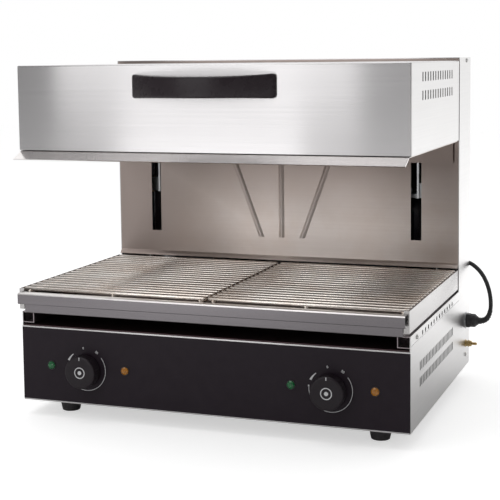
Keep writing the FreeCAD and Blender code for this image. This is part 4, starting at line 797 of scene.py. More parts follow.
# the plug's stations run from the face with the pins back along the lead, as places with
# what each takes off the full width and thickness, and a corner radius
plug = {"middle": (344.3, -11.7), "wide": 37.0, "thick": 23.0, "front": 121.2,
        "face": [(0.0, 9.0, 9.0, 4.0), (0.0, 2.4, 2.4, 5.4), (0.6, 0.9, 0.9, 5.8), (1.6, 0.0, 0.0, 6.0),
                 (15.0, 0.0, 0.0, 6.0), (17.0, 1.6, 1.0, 6.5)],
        "grooves": 5, "grooveStart": 18.0, "grooveStep": 3.4, "grooveTaper": (1.1, 0.5),
        "groove": [(0.0, 2.4, 1.2), (0.5, 4.4, 2.8), (1.5, 4.8, 3.0), (2.0, 2.9, 1.4)],
        "shoulder": [(36.0, 9.5, 4.4, 8.0), (38.6, 15.0, 7.5, 7.2), (40.0, 20.0, 9.4, 6.6)],
        "ribs": 6, "ribStart": 41.0, "ribStep": 3.7, "ribWide": 12.4, "ribTaper": 0.55,
        "rib": [(0.0, 0.0), (1.5, 0.2), (1.9, 1.9), (3.3, 2.1)],
        "tail": [(63.6, 9.0), (64.4, 8.4), (64.8, 7.4)],
        "pinReach": 19.0, "pinRadius": 2.4, "pinOffset": 9.5, "sleeveReach": 9.0}


def plugStations(part):
    wide, thick = part["wide"], part["thick"]
    stations = [(at, wide - u, thick - v, corner) for at, u, v, corner in part["face"]]
    for groove in range(part["grooves"]):
        start = part["grooveStart"] + groove * part["grooveStep"]
        slimU, slimV = (groove * taper for taper in part["grooveTaper"])
        stations += [(start + at, wide - u - slimU, thick - v - slimV, 7) for at, u, v in part["groove"]]
    stations += [(at, wide - u, thick - v, corner) for at, u, v, corner in part["shoulder"]]
    for rib in range(part["ribs"]):
        start, size = part["ribStart"] + rib * part["ribStep"], part["ribWide"] - rib * part["ribTaper"]
        stations += [(start + at, size - cut, size - cut, 9) for at, cut in part["rib"]]
    return stations + [(at, size, size, 9) for at, size in part["tail"]]


def makePlug(part):
    front = part["front"]
    y, z = part["middle"]
    stations = plugStations(part)
    points, faces = [], []
    for at, across, deep, corner in stations:
        for u, v in rounded(across, deep, corner):
            points.append((front + at, y + u, z + v))
    count = len(points) // len(stations)
    for ring in range(len(stations) - 1):
        for step in range(count):
            a, b = ring * count + step, ring * count + (step + 1) % count
            faces.append((a, b, b + count, a + count))
    faces.append(list(range(count)))
    faces.append([(len(stations) - 1) * count + step for step in range(count)])
    body = meshPiece("leadPlug", [Vector(p) * mm for p in points], faces, leadBlack, 35)
    settle(body, "housing", "plug_black", "mains_plug")
    pins = []
    for side in (-1, 1):
        spot = ((front + 0.6) * mm, (y + side * part["pinOffset"]) * mm, z * mm)
        r, long, short = part["pinRadius"], part["pinReach"] + 0.6, part["sleeveReach"]
        pins.append(turned("pin", [(p * mm, h * mm) for p, h in (
            (r - 0.15, short - 1), (r - 0.15, long - 3.2), (r - 0.5, long - 1.4), (r - 1.3, long - 0.4),
            (0.3, long))], brass, 24, spot, "-x", 40))
        pins.append(turned("pinSleeve", [(p * mm, h * mm) for p, h in (
            (r - 0.6, 0.0), (r, 0.1), (r, short - 0.3), (r - 0.15, short), (r - 0.9, short))],
            leadBlack, 24, spot, "-x", 40))
    return body, settle(joined("plugPins", pins), "housing", "pin_brass", "plug_pins")


tie = {"low": (156.94, -24.0), "high": (178.62, -7.1), "front": 294.3, "wide": 8.0, "thick": 0.8,
       "corner": 4.2, "lapFrom": 9, "lapTo": 21}


def makeTie(part):
    # a hook and loop band round the turns, lapped over itself on top
    (x0, z0), (x1, z1) = part["low"], part["high"]
    middle = ((x0 + x1) / 2, (z0 + z1) / 2)
    lap = part["thick"] * 0.75
    outer = rounded(x1 - x0, z1 - z0, part["corner"])
    bare = rounded(x1 - x0 - 2 * lap, z1 - z0 - 2 * lap, part["corner"] - lap)
    inner = rounded(x1 - x0 - 2 * part["thick"], z1 - z0 - 2 * part["thick"], part["corner"] - part["thick"])
    points, faces = [], []
    count = len(outer)
    for step in range(count):
        skin = outer[step]
        if not part["lapFrom"] <= step <= part["lapTo"]:
            skin = tuple(far + (near - far) * 0.35 for far, near in zip(skin, bare[step]))
        for u, v in (skin, inner[step]):
            for y in (part["front"], part["front"] + part["wide"]):
                points.append((middle[0] + u, y, middle[1] + v))
    for step in range(count):
        a, b = step * 4, (step + 1) % count * 4
        for p, q in ((0, 1), (1, 3), (3, 2), (2, 0)):
            faces.append((a + p, a + q, b + q, b + p))
    band = meshPiece("coilBand", [Vector(p) * mm for p in points], faces, bandCloth, 40)
    return settle(band, "housing", "tie_black", "coil_tie")


mainsCord = makeLead(lead)
leadSleeve = makeSleeve(sleeve, leadLine(mainsCord.data))
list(makePlug(plug))
makeTie(tie)
print("mains lead laid")


def faceWidth(face):
    return face.calc_area() / max(edge.calc_length() for edge in face.edges)


def flatPanels(mesh):
    # wide faces keep their own flat normal and the bends between them turn from one to the next
    work = bmesh.new()
    work.from_mesh(mesh)
    work.faces.ensure_lookup_table()
    wide = [faceWidth(face) > 2.2 * mm for face in work.faces]
    normals = [None] * len(mesh.loops)
    for face in work.faces:
        for loop, corner in zip(face.loops, mesh.polygons[face.index].loop_indices):
            way = face.normal
            if not wide[face.index]:
                near = [other for other in loop.vert.link_faces if other.normal.dot(face.normal) > 0.75]
                flat = [other for other in near if wide[other.index]]
                if flat:
                    way = max(flat, key=lambda other: other.normal.dot(face.normal)).normal
                else:
                    way = sum((other.normal for other in near), Vector()).normalized()
            normals[corner] = tuple(way)
    work.free()
    mesh.normals_split_custom_set(normals)


def dressed(name, node, body, bend, finish, shortest=40.0, finishAt=(), softer=()):
    # a copy of a folded sheet whose long outer corners get their bend radius; softer names
    # folds with a radius of their own as (y, z, radius)
    work = bmesh.new()
    work.from_mesh(nodes[node].data)
    bmesh.ops.remove_doubles(work, verts=work.verts, dist=2e-6)
    bmesh.ops.dissolve_limit(work, angle_limit=math.radians(0.6), verts=work.verts, edges=work.edges)
    for y, z, radius in softer:
        fold = [edge for edge in work.edges if edge.calc_length() > shortest * mm and all(
            abs(vert.co.y - y * mm) < 0.1 * mm and abs(vert.co.z - z * mm) < 0.1 * mm
            for vert in edge.verts)]
        print(name, "soft folds", len(fold))
        bmesh.ops.bevel(work, geom=fold, offset=radius * mm, offset_type="OFFSET", segments=8,
                        profile=0.5, affect="EDGES", clamp_overlap=True)
    picked = []
    for edge in work.edges:
        if len(edge.link_faces) != 2 or edge.calc_length() < shortest * mm:
            continue
        turn = edge.calc_face_angle_signed(0)
        if math.radians(55) < turn < math.radians(125) and min(map(faceWidth, edge.link_faces)) > 3.5 * mm:
            picked.append(edge)
    if picked:
        bmesh.ops.bevel(work, geom=picked, offset=bend * mm, offset_type="OFFSET", segments=4,
                        profile=0.5, affect="EDGES", clamp_overlap=True)
    mesh = bpy.data.meshes.new(name)
    work.to_mesh(mesh)
    work.free()
    mesh.materials.append(finish)
    for number, (other, inside) in enumerate(finishAt):
        mesh.materials.append(other)
        for face in mesh.polygons:
            if inside(face.center / mm, face.normal):
                face.material_index = number + 1
    smoothShade(mesh, 35)
    flatPanels(mesh)
    piece = bpy.data.objects.new(name, mesh)
    bpy.context.scene.collection.objects.link(piece)
    print(name, "bends", len(picked))
    slots = {row["node"]: row["material_slot"] for row in frame["record"]["subparts"]}
    return settle(piece, body, slots[node], node)


def rod(name, start, along, long, radius, finish, sides=12):
    # a straight bar with rounded ends
    profile = [(radius * math.sin(math.radians(a)), radius - radius * math.cos(math.radians(a)))
               for a in (0, 30, 60, 90)]
    profile = [(max(r, 0), z) for r, z in profile] + [(r, long - z) for r, z in profile[::-1]]
    profile[0] = (radius * 0.05, 0)
    profile[-1] = (radius * 0.05, long)
    return turned(name, profile, finish, sides, start, along, 50)


# folded sheets with their bends
bends = {"headOuter": 2.0, "lip": 1.6, "frame": 1.8, "tray": 2.2, "panel": 1.4, "top": 1.6, "ridge": 3.2}
dressed("headShell", "head_shell", "head", bends["headOuter"], skinSteel, 40,
        [(sideSteel, lambda spot, normal: abs(normal.x) > 0.5)])
# the reflector's front lip takes a bright copy of its steel as painted highlight
dressed("reflectorHood", "reflector", "head", bends["lip"], reflectorSteel, 40,
        [(lipHighlightSteel, lambda spot, normal: spot.y < -206 and spot.z < 381.5)])
dressed("rackFrame", "rack_frame", "housing", bends["frame"], frameSteel, 20)
# the tray's front face takes a darker copy of the steel as painted shade, and its up-facing rim a bright copy
# as painted highlight
dressed("dripTray", "drip_tray", "tray", bends["tray"], trayShadeInside, 20,
        [(lipShadeGrey, lambda spot, normal: spot.y < -225.5),
         (rimHighlightSteel, lambda spot, normal: spot.y < -222 and spot.z > 158 and normal.z > 0.2)],
        [(-238.0, 167.7, 3.2), (-236.8, 166.5, 2.0)])
dressed("frontPanel", "front_panel", "housing", bends["panel"], skinSteel)
dressed("columnFront", "column_front", "housing", bends["ridge"], columnShadeSteel, 150)
dressed("columnTop", "column_top", "housing", bends["top"], skinSteel)
print("sheets dressed")


# wire racks: cross wires welded on three long bars

rack = {"wires": 19, "pitch": 18.0, "firstWire": -213.5, "wireRadius": 2.7, "wireLevel": 170.5,
        "inner": 2.0, "outer": 297.0, "bars": 3, "barPitch": 139.5, "firstBar": 10.0,
        "barRadius": 3.0, "barLevel": 165.3, "barFront": -216.5, "barLong": 330.0,
        "weldRadius": 3.4, "weldTall": 1.3}


def makeRack(side, sideName):
    left = rack["inner"] if side > 0 else -rack["outer"]
    firstBar = rack["firstBar"] if side > 0 else -rack["firstBar"] - 2 * rack["barPitch"]
    wireOne = rod("wireOne", (left * mm, rack["firstWire"] * mm, rack["wireLevel"] * mm), "x",
                  (rack["outer"] - rack["inner"]) * mm, rack["wireRadius"] * mm, wireChrome, 14)
    wires = row("wires" + sideName, wireOne, rack["wires"], (0, rack["pitch"] * mm, 0), 50)
    barOne = rod("barOne", (firstBar * mm, rack["barFront"] * mm, rack["barLevel"] * mm), "y",
                 rack["barLong"] * mm, rack["barRadius"] * mm, wireChrome, 14)
    bars = row("bars" + sideName, barOne, rack["bars"], (rack["barPitch"] * mm, 0, 0), 50)
    seam = rack["wireLevel"] - rack["wireRadius"]
    bead = [(rack["weldRadius"] * share * mm, tall * rack["weldTall"] * mm)
            for share, tall in ((0.3, -1), (0.75, -0.7), (1, 0), (0.75, 0.7), (0.3, 1))]
    weldOne = turned("weldOne", bead, wireChrome, 10,
                     (firstBar * mm, rack["firstWire"] * mm, seam * mm), "z", 60)
    welds = row("weldRow", weldOne, rack["bars"], (rack["barPitch"] * mm, 0, 0), 60)
    welds = row("welds" + sideName, welds, rack["wires"], (0, rack["pitch"] * mm, 0), 60)
    piece = joined("wireRack" + sideName, [wires, bars, welds])
    return settle(piece, "rack_" + sideName.lower(), "rack_wire", "wire_rack_" + sideName.lower())


makeRack(-1, "Left")
makeRack(1, "Right")
print("racks made")


# handle: a bow that grows taller and rounder to its ends

handle = {"half": 110.0, "face": -215.0, "peak": -258.0, "endOut": 5.16, "innerHalf": 78.0,
          "innerPeak": -248.0, "low": 461.0, "tall": 30.0, "flare": 2.6, "droop": 1.2,
          "corner": 6.0, "edge": 3.6, "stations": 72}


def arcDepth(x, half, ends, peak):
    # y on the arc through (-half, ends), (0, peak) and (half, ends)
    rise = ends - peak
    radius = (half * half + rise * rise) / (2 * rise)
    return peak + radius - math.sqrt(max(0, radius * radius - x * x))


def makeHandle(grip):
    half, corner = grip["half"], grip["corner"]
    points, faces = [], []
    across = 7
    xs = [half * math.sin(math.pi / 2 * (2 * i / grip["stations"] - 1)) for i in range(grip["stations"] + 1)]
    for x in xs:
        share = abs(x) / half
        front = arcDepth(x, half, grip["face"] - grip["endOut"], grip["peak"])
        back = grip["face"]
        if abs(x) < grip["innerHalf"]:
            back = arcDepth(x, grip["innerHalf"], grip["face"], grip["innerPeak"])
        tall = grip["tall"] / 2 + grip["flare"] * share ** 3
        end = half - abs(x)
        if end < corner:
            drop = corner - math.sqrt(max(0, corner ** 2 - (corner - end) ** 2))
            tall -= drop
            front = min(front + drop * 0.8, back - 0.8)
        middle = grip["low"] + grip["tall"] / 2 - grip["droop"] * (1 - share ** 2)
        edge = min(grip["edge"], (back - front) * 0.45)
        loop = []
        for cy, cz in ((front, -1), (front, 1), (back, 1), (back, -1)):
            inward = 1 if cy == front else -1
            size = edge if cy == front or abs(x) < grip["innerHalf"] - 3 else 0.3
            for step in range(across):
                turn = step / (across - 1) * math.pi / 2
                if cy == front and cz < 0:
                    oy, oz = -math.sin(turn), -math.cos(turn)
                elif cy == front:
                    oy, oz = -math.cos(turn), math.sin(turn)
                elif cz > 0:
                    oy, oz = math.sin(turn), math.cos(turn)
                else:
                    oy, oz = math.cos(turn), -math.sin(turn)
                loop.append((x, cy + inward * size + oy * size, middle + cz * (tall - size) + oz * size))
        points.extend(loop)
    count = across * 4
    for ring in range(len(xs) - 1):
        for step in range(count):
            a, b = ring * count + step, ring * count + (step + 1) % count
            faces.append((a, b, b + count, a + count))
    faces.append(list(range(count)))
    faces.append([(len(xs) - 1) * count + step for step in range(count)][::-1])
    return meshPiece("bowHandle", [Vector(p) * mm for p in points], faces, handleBlack, 40)


settle(makeHandle(handle), "head", "handle_black", "handle")
print("handle made")


# dials: a ribbed knob with a ring and dot on its face, and the printed scale behind it

dial = {"places": {"Left": -193.0, "Right": 187.0}, "level": 53.5, "cover": -220.0, "gap": 0.6,
        "skirt": 22.5, "grip": 24.5, "out": 22.0, "ribs": 40, "ribDepth": 0.35,
        "ring": (7.1, 8.5), "dot": 3.0, "pointer": (18.6, 23.2, 1.2),
        "scaleRadius": 31.6, "scaleWide": 0.8, "scaleFrom": 38.0, "scaleTo": -187.0,
        "bandRadius": (30.2, 33.4), "band": (133.0, 157.0), "figures": ((98.0, "0"), (57.0, "50")),
        "figureTall": 3.6, "figureRadius": 32.4}


def ribs(angle, radius, height):
    # shallow ribs on the straight part of the grip only
    if 6.2 * mm < height < 18.5 * mm:
        return -dial["ribDepth"] * mm * (0.5 + 0.5 * math.cos(dial["ribs"] * angle))
    return 0


def flatRing(name, middle, inner, outer, start, stop, level, finish, steps=64):
    # a flat printed band on a plane that looks to the front
    points, faces = [], []
    for step in range(steps + 1):
        angle = math.radians(start + (stop - start) * step / steps)
        for radius in (inner, outer):
            for depth in (0, 0.12):
                points.append(((middle[0] + radius * math.cos(angle)) * mm, (level + depth) * mm,
                               (middle[1] + radius * math.sin(angle)) * mm))
    for step in range(steps):
        a = step * 4
        b = a + 4
        for p, q in ((0, 2), (2, 3), (3, 1), (1, 0)):
            faces.append((a + p, a + q, b + q, b + p))
    if abs(abs(stop - start) - 360) > 0.1:
        faces.append((0, 1, 3, 2))
        faces.append((steps * 4, steps * 4 + 2, steps * 4 + 3, steps * 4 + 1))
    return meshPiece(name, points, faces, finish, 60)


def figure(name, text, tall, middle, angle, level, finish):
    # plain numerals, upright to the middle of the dial
    curve = bpy.data.curves.new(name, "FONT")
    curve.body = text
    curve.size = tall * 1.38 * mm
    curve.align_x = "CENTER"
    curve.align_y = "CENTER"
    curve.extrude = 0.05 * mm
    curve.offset = 0.06 * mm
    holder = bpy.data.objects.new(name, curve)
    bpy.context.scene.collection.objects.link(holder)
    bpy.context.view_layer.update()
    graph = bpy.context.evaluated_depsgraph_get()
    mesh = bpy.data.meshes.new_from_object(holder.evaluated_get(graph), depsgraph=graph)
    bpy.data.objects.remove(holder)
    turn = math.radians(angle - 90)
    place = Matrix.Translation(Vector((middle[0], level, middle[1])) * mm)
    mesh.transform(place @ Matrix.Rotation(-turn, 4, "Y") @ Matrix.Rotation(math.pi / 2, 4, "X"))
    mesh.materials.clear()
    mesh.materials.append(finish)
    piece = bpy.data.objects.new(name, mesh)
    bpy.context.scene.collection.objects.link(piece)
    return piece


def makeKnob(knob, sideName):
    x, z = knob["places"][sideName], knob["level"]
    face = knob["cover"] - knob["gap"]
    out, grip, skirt = knob["out"], knob["grip"], knob["skirt"]
    profile = [(3.4, 0.0), (skirt - 0.6, 0.0), (skirt, 0.6), (skirt, 3.6), (grip - 0.5, 5.0), (grip, 5.8),
               (grip, 6.4), (grip, 10.0), (grip, 14.0), (grip, 18.4), (grip, out - 2.4),
               (grip - 0.35, out - 1.3), (grip - 1.1, out - 0.45), (grip - 2.2, out - 0.08),
               (grip - 3.4, out), (grip - 5.0, out - 0.02), (12.0, out - 0.35), (2.0, out - 0.6)]
    cap = turned("knob" + sideName, [(r * mm, h * mm) for r, h in profile], knobBlack,
                 knob["ribs"] * 4, (x * mm, face * mm, z * mm), "-y", 35, ribs)
    front = face - out + 0.3
    ring = flatRing("ring", (x, z), *knob["ring"], 0, 360, front, whitePrint, 56)
    dot = flatRing("dot", (x, z), 0.02, knob["dot"], 0, 360, front + 0.12, whitePrint, 32)
    near, far, wide = knob["pointer"]
    corners = [(x + side * wide / 2, y, z + reach) for y in (face - out - 0.08, face - out + 1.6)
               for side, reach in ((-1, near), (1, near), (1, far), (-1, far))]
    sides = [(0, 1, 2, 3), (7, 6, 5, 4), (0, 4, 5, 1), (1, 5, 6, 2), (2, 6, 7, 3), (3, 7, 4, 0)]
    pointer = meshPiece("pointer", [Vector(c) * mm for c in corners], sides, whitePrint, 30)
    piece = joined("dial" + sideName, [cap, ring, dot, pointer])
    return settle(piece, "dial_" + sideName.lower(), "knob_black", "knob_" + sideName.lower())


def makeScale(knob, sideName):
    middle, cover = (knob["places"][sideName], knob["level"]), knob["cover"] - 0.1
    radius, wide = knob["scaleRadius"], knob["scaleWide"]
    parts = [flatRing("arc", middle, radius - wide / 2, radius + wide / 2, knob["scaleTo"],
                      knob["scaleFrom"], cover, whitePrint, 72),
             flatRing("endTick", middle, radius - 0.6, radius + 1.6, knob["scaleTo"] - 2,
                      knob["scaleTo"] + 2.2, cover, whitePrint, 3)]
    inner, outer = knob["bandRadius"]
    start, stop = knob["band"]
    steps = 16
    points, faces = [], []
    for step in range(steps + 1):
        angle = math.radians(start + (stop - start) * step / steps)
        thick = (outer - inner) * (0.35 + 0.65 * step / steps)
        for reach in (inner, inner + thick):
            for depth in (0, 0.12):
                points.append(((middle[0] + reach * math.cos(angle)) * mm, (cover + depth) * mm,
                               (middle[1] + reach * math.sin(angle)) * mm))
    for step in range(steps):
        a, b = step * 4, step * 4 + 4
        for p, q in ((0, 2), (2, 3), (3, 1), (1, 0)):
            faces.append((a + p, a + q, b + q, b + p))
    faces += [(0, 1, 3, 2), (steps * 4, steps * 4 + 2, steps * 4 + 3, steps * 4 + 1)]
    parts.append(meshPiece("band", points, faces, whitePrint, 60))
    for angle, text in knob["figures"]:
        reach = knob["figureRadius"]
        spot = (middle[0] + reach * math.cos(math.radians(angle)),
                middle[1] + reach * math.sin(math.radians(angle)))
        parts.append(figure("figure" + text, text, knob["figureTall"], spot, angle, cover + 0.02,
                            whitePrint))
    return settle(joined("scale" + sideName, parts), "housing", "cover_black")


for sideName in ("Left", "Right"):
    makeKnob(dial, sideName)
    makeScale(dial, sideName)
print("dials made")


# indicator lamps: cut lenses in black bezels

lamps = {"powerX": (-251.0, 129.0), "heatingX": (-129.0, 251.0), "level": 56.4, "cover": -220.0,
         "lens": [(6.1, 0.8), (5.9, 2.0), (4.3, 3.4), (2.2, 4.1), (0.1, 4.2)], "facets": 10,
         "bezel": [(5.9, 0.0), (7.0, 0.0), (7.0, 0.5), (6.7, 0.9), (6.2, 0.9), (5.9, 0.7)]}


def makeLamps(name, places, finish, replaced, slot):
    parts = []
    for x in places:
        spot = (x * mm, lamps["cover"] * mm, lamps["level"] * mm)
        parts.append(turned("lens", [(r * mm, h * mm) for r, h in [(5.9, 0.0)] + lamps["lens"]], finish,
                            lamps["facets"], spot, "-y", 12))
        parts.append(turned("bezel", [(r * mm, h * mm) for r, h in lamps["bezel"]], glandBlack, 40, spot,
                            "-y", 40))
    return settle(joined(name, parts), "housing", slot, replaced)


makeLamps("powerLenses", lamps["powerX"], lensGreen, "power_lamps", "lens_green")
makeLamps("heatingLenses", lamps["heatingX"], lensAmber, "heating_lamps", "lens_amber")
print("lamps made")


# cable gland on the right side, with its sleeve on the lead, and the bonding stud

gland = {"place": (300.0, 191.0, 77.0), "hexRadius": 12.5}


def hexagonal(corner, flat=0):
    # takes a round profile in to six flats
    def trim(angle, radius, height):
        if radius < corner * 0.80:
            return 0
        folded = (angle + math.pi / 6) % (math.pi / 3) - math.pi / 6
        return min(radius, corner * math.cos(math.pi / 6) / math.cos(folded)) - radius
    return trim


def makeGland(piece):
    x, y, z = piece["place"]
    spot = (x * mm, y * mm, z * mm)
    r = piece["hexRadius"]
    washer = turned("washer", [(p * mm, h * mm) for p, h in (
        (8.0, 0), (13.2, 0), (13.6, 0.25), (13.6, 0.95), (13.2, 1.2), (8.0, 1.2))], zincSteel, 64, spot, "x")
    nut = turned("nut", [(p * mm, h * mm) for p, h in (
        (7.0, 1.2), (r - 1.4, 1.2), (r, 2.0), (r, 7.4), (r - 1.4, 8.2), (7.0, 8.2))], glandBlack, 96,
        spot, "x", 30, hexagonal(r * mm))
    cap = turned("cap", [(p * mm, h * mm) for p, h in (
        (7.0, 8.2), (10.6, 8.2), (11.0, 8.7), (11.0, 9.2), (11.0, 12.0), (11.0, 14.6), (10.4, 16.0),
        (9.2, 17.3), (7.8, 18.6), (7.2, 20.0), (6.6, 20.8), (5.8, 21.0), (3.7, 21.0))], glandBlack, 96,
        spot, "x", 35, lambda angle, radius, height: (
            -0.5 * mm * (0.5 + 0.5 * math.cos(16 * angle)) if 8.9 * mm < height < 15.0 * mm else 0))
    return settle(joined("cableGland", [washer, nut, cap]), "housing", "gland_black", "cable_gland")


makeGland(gland)

stud = {"place": (300.0, 188.0, 38.5), "threadPitch": 0.8, "crest": 2.5, "root": 2.1, "out": 19.0}


def makeStud(piece):
    x, y, z = piece["place"]
    spot = (x * mm, y * mm, z * mm)
    parts = []
    for low in (0.0, 5.2):
        parts.append(turned("washer", [(p * mm, (low + h) * mm) for p, h in (
            (2.4, 0), (5.8, 0), (6.0, 0.2), (6.0, 1.0), (5.8, 1.2), (2.4, 1.2))], brass, 40, spot, "x"))
        parts.append(turned("nut", [(p * mm, (low + h) * mm) for p, h in (
            (2.4, 1.2), (4.5, 1.2), (5.0, 1.6), (5.0, 4.8), (4.5, 5.2), (2.4, 5.2))], brass, 72, spot, "x",
            30, hexagonal(5.0 * mm)))
    thread = [(piece["root"], 10.4)]
    height = 10.6
    while height < piece["out"] - 1.2:
        thread += [(piece["crest"], height + 0.2), (piece["root"], height + 0.6)]
        height += piece["threadPitch"]
    thread += [(2.2, piece["out"] - 0.7), (1.7, piece["out"]), (0.05, piece["out"])]
    parts.append(turned("thread", [(p * mm, h * mm) for p, h in thread], brass, 28, spot, "x", 25))
    return settle(joined("bondingStud", parts), "housing", "stud_brass", "earth_stud")


makeStud(stud)
print("gland and stud made")


# rubber feet

foot = {"places": [(x, y) for x in (-246.0, 246.0) for y in (-171.0, 171.0)],
        "profile": [(6.3, -17.0), (6.3, -23.3), (7.0, -24.0), (12.6, -24.0), (13.3, -23.6), (13.7, -22.8),
                    (14.3, -20.0), (18.0, -1.4), (18.6, 0.9), (18.4, 1.7), (17.8, 2.0), (0.1, 2.0)]}
footOne = turned("footOne", [(0.1 * mm, -17.0 * mm)] + [(r * mm, h * mm) for r, h in foot["profile"]],
                 footRubber, 56, (0, 0, 0), "z", 35)
feet = onSpots("rubberFeet", footOne, [((x * mm, y * mm, 0), (0, 0, 0)) for x, y in foot["places"]], 35)
settle(feet, "housing", "foot_rubber", "feet")


# housing screws: domed heads with a cross recess

screw = {"radius": 3.6, "tall": 1.8, "cross": 3.4, "crossWide": 0.9, "crossDeep": 1.0, "shank": 1.7,
         "sideSpots": ((186.67, 507.0), (-178.45, 127.7), (186.67, 20.0)),
         "rearX": 290.8, "rearY": 220.0, "rearLevels": (10.0, 136.0, 256.0, 507.0)}


def screwHead(part):
    # the plus-shaped recess is cut in the flat top of the dome
    work = bmesh.new()
    steps = 28
    dome = [(part["shank"], -5.0), (part["shank"], 0.0), (part["radius"], 0.0),
            (part["radius"], part["tall"] * 0.35), (part["radius"] * 0.93, part["tall"] * 0.7),
            (part["radius"] * 0.78, part["tall"] * 0.93), (part["radius"] * 0.66, part["tall"])]
    rings = []
    for radius, height in dome:
        rings.append([work.verts.new((radius * math.cos(2 * math.pi * s / steps) * mm,
                                      radius * math.sin(2 * math.pi * s / steps) * mm, height * mm))
                      for s in range(steps)])
    for low, high in zip(rings, rings[1:]):
        for s in range(steps):
            work.faces.new((low[s], low[(s + 1) % steps], high[(s + 1) % steps], high[s]))
    work.faces.new(rings[0][::-1])
    a, b = part["crossWide"] / 2, part["cross"] / 2
    outline = [(b, -a), (b, a), (a, a), (a, b), (-a, b), (-a, a), (-b, a), (-b, -a), (-a, -a), (-a, -b),
               (a, -b), (a, -a)]
    top = [work.verts.new((u * mm, v * mm, part["tall"] * mm)) for u, v in outline]
    floor = [work.verts.new((u * mm * 0.8, v * mm * 0.8, (part["tall"] - part["crossDeep"]) * mm))
             for u, v in outline]
    for s in range(len(top)):
        n = (s + 1) % len(top)
        work.faces.new((top[n], top[s], floor[s], floor[n]))
    work.faces.new(floor)
    rim = [work.edges.get((rings[-1][s], rings[-1][(s + 1) % steps])) for s in range(steps)]
    rim += [work.edges.get((top[s], top[(s + 1) % len(top)])) for s in range(len(top))]
    bmesh.ops.triangle_fill(work, use_beauty=True, use_dissolve=False, edges=rim)
    bmesh.ops.recalc_face_normals(work, faces=work.faces)
    mesh = bpy.data.meshes.new("screwOne")
    work.to_mesh(mesh)
    work.free()
    mesh.materials.append(brightScrew)
    piece = bpy.data.objects.new("screwOne", mesh)
    bpy.context.scene.collection.objects.link(piece)
    return piece


def makeScrews(part):
    quarter = math.pi / 2
    spots = []
    for side in (-1, 1):
        for y, z in part["sideSpots"]:
            spots.append(((side * 300.0 * mm, y * mm, z * mm), (0, side * quarter, 0)))
        for z in part["rearLevels"]:
            spots.append(((side * part["rearX"] * mm, part["rearY"] * mm, z * mm), (-quarter, 0, 0)))
    return settle(onSpots("housingScrews", screwHead(part), spots, 35), "housing", "fastener_steel",
                  "housing_screws")


makeScrews(screw)
print("feet and screws made")


# heating elements: sheathed rods bent into open loops under the reflector

element = {"radius": 4.0, "level": 438.0, "runs": (55.0, 115.0, 175.0, 235.0), "front": -150.0,
           "rear": 62.0, "tail": 108.0, "pinRadius": 1.6}


def elementPath(side):
    # along the runs with half turns at the front and the rear between them
    runs = element["runs"]
    turn = (runs[1] - runs[0]) / 2
    path = [(runs[0], element["tail"])]
    for index, x in enumerate(runs):
        heading = -1 if index % 2 == 0 else 1
        start = element["rear"] if heading < 0 else element["front"]
        stop = element["front"] if heading < 0 else element["rear"]
        if index == 0:
            start = element["tail"]
        if index == len(runs) - 1:
            stop = element["tail"]
        path += [(x, start + (stop - start) * step / 8) for step in range(1, 9)]
        if index < len(runs) - 1:
            for step in range(1, 16):
                angle = math.pi * step / 16
                path.append((x + turn - turn * math.cos(angle), stop + heading * turn * math.sin(angle)))
            path.append((runs[index + 1], stop))
    return [Vector((side * x, y, element["level"])) * mm for x, y in path]


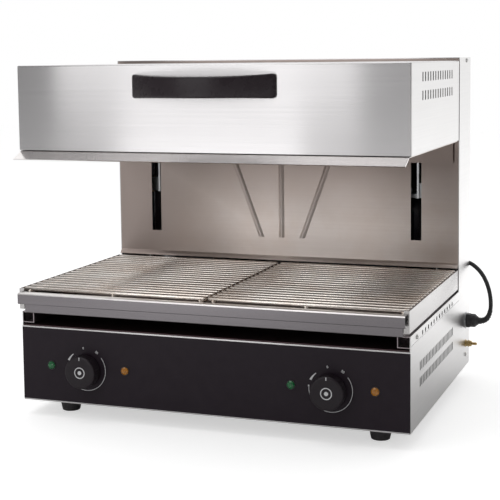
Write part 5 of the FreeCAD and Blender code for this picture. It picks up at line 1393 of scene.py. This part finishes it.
def makeElement(side, sideName):
    parts = [tubeAlong("sheath", elementPath(side), element["radius"] * mm, sheath, 18)]
    for x in (element["runs"][0], element["runs"][-1]):
        spot = (side * x * mm, (element["tail"] - 0.5) * mm, element["level"] * mm)
        parts.append(turned("pin", [(element["pinRadius"] * mm, 0),
                                    (element["pinRadius"] * mm, 8.7 * mm), (1.0 * mm, 9.5 * mm)],
                            zincSteel, 16, spot, "y", 40))
        parts.append(turned("bead", [(r * mm, h * mm) for r, h in (
            (3.2, 0.2), (3.9, 0.8), (3.9, 1.6), (3.2, 2.2), (1.7, 2.4))], ceramic, 20, spot, "y", 40))
    return settle(joined("element" + sideName, parts), "head", "element_sheath",
                  "heating_element_" + sideName.lower())


makeElement(-1, "Left")
makeElement(1, "Right")
print("elements made")


# steel ropes: six strands round a line, laid over the pulleys

rope = {"radius": 1.5, "strand": 0.52, "strands": 6, "lay": 11.0, "step": 0.9, "y": 159.0, "top": 458.0,
        "headSide": 213.5, "headLow": 299.0, "weightSide": 162.5, "weightLow": 264.0,
        "pulley": 188.0, "wrap": 25.5}


def ropeLine(points):
    # the rope's middle as a chain of edges
    mesh = bpy.data.meshes.new("ropeLine")
    mesh.from_pydata([Vector(p) * mm for p in points], [(i, i + 1) for i in range(len(points) - 1)], [])
    line = bpy.data.objects.new("ropeLine", mesh)
    bpy.context.scene.collection.objects.link(line)
    return line


def laidRope(name, lines):
    sizes = {"Strands": rope["strands"], "Lay": rope["lay"] * mm,
             "Reach": (rope["radius"] - rope["strand"]) * mm, "Strand Radius": rope["strand"] * mm,
             "Finish": ropeSteel}
    return joined(name, [grown(name, ropeLine(points), laidStrands, sizes, 60) for points in lines])


def straight(x, low, high):
    count = int((high - low) / rope["step"])
    return [(x, rope["y"], low + (high - low) * i / count) for i in range(count + 1)]


def overPulley(side):
    count = int(math.pi * rope["wrap"] / rope["step"])
    return [(side * rope["pulley"] + rope["wrap"] * math.cos(math.pi * i / count), rope["y"],
             rope["top"] + rope["wrap"] * math.sin(math.pi * i / count)) for i in range(count + 1)]


def makeRopes():
    headRopes = laidRope("headRopes", [straight(side * rope["headSide"], rope["headLow"], rope["top"])
                                       for side in (-1, 1)])
    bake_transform(headRopes)
    weightRopes = laidRope("weightRopes", [straight(side * rope["weightSide"], rope["weightLow"], rope["top"])
                                           for side in (-1, 1)])
    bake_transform(weightRopes)
    for piece, node in ((headRopes, "carriage_ropes"), (weightRopes, "weight_ropes")):
        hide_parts(node)
    settle(laidRope("ropeWraps", [overPulley(side) for side in (-1, 1)]), "housing", "rope_steel",
           "rope_wraps")


makeRopes()
print("ropes laid")
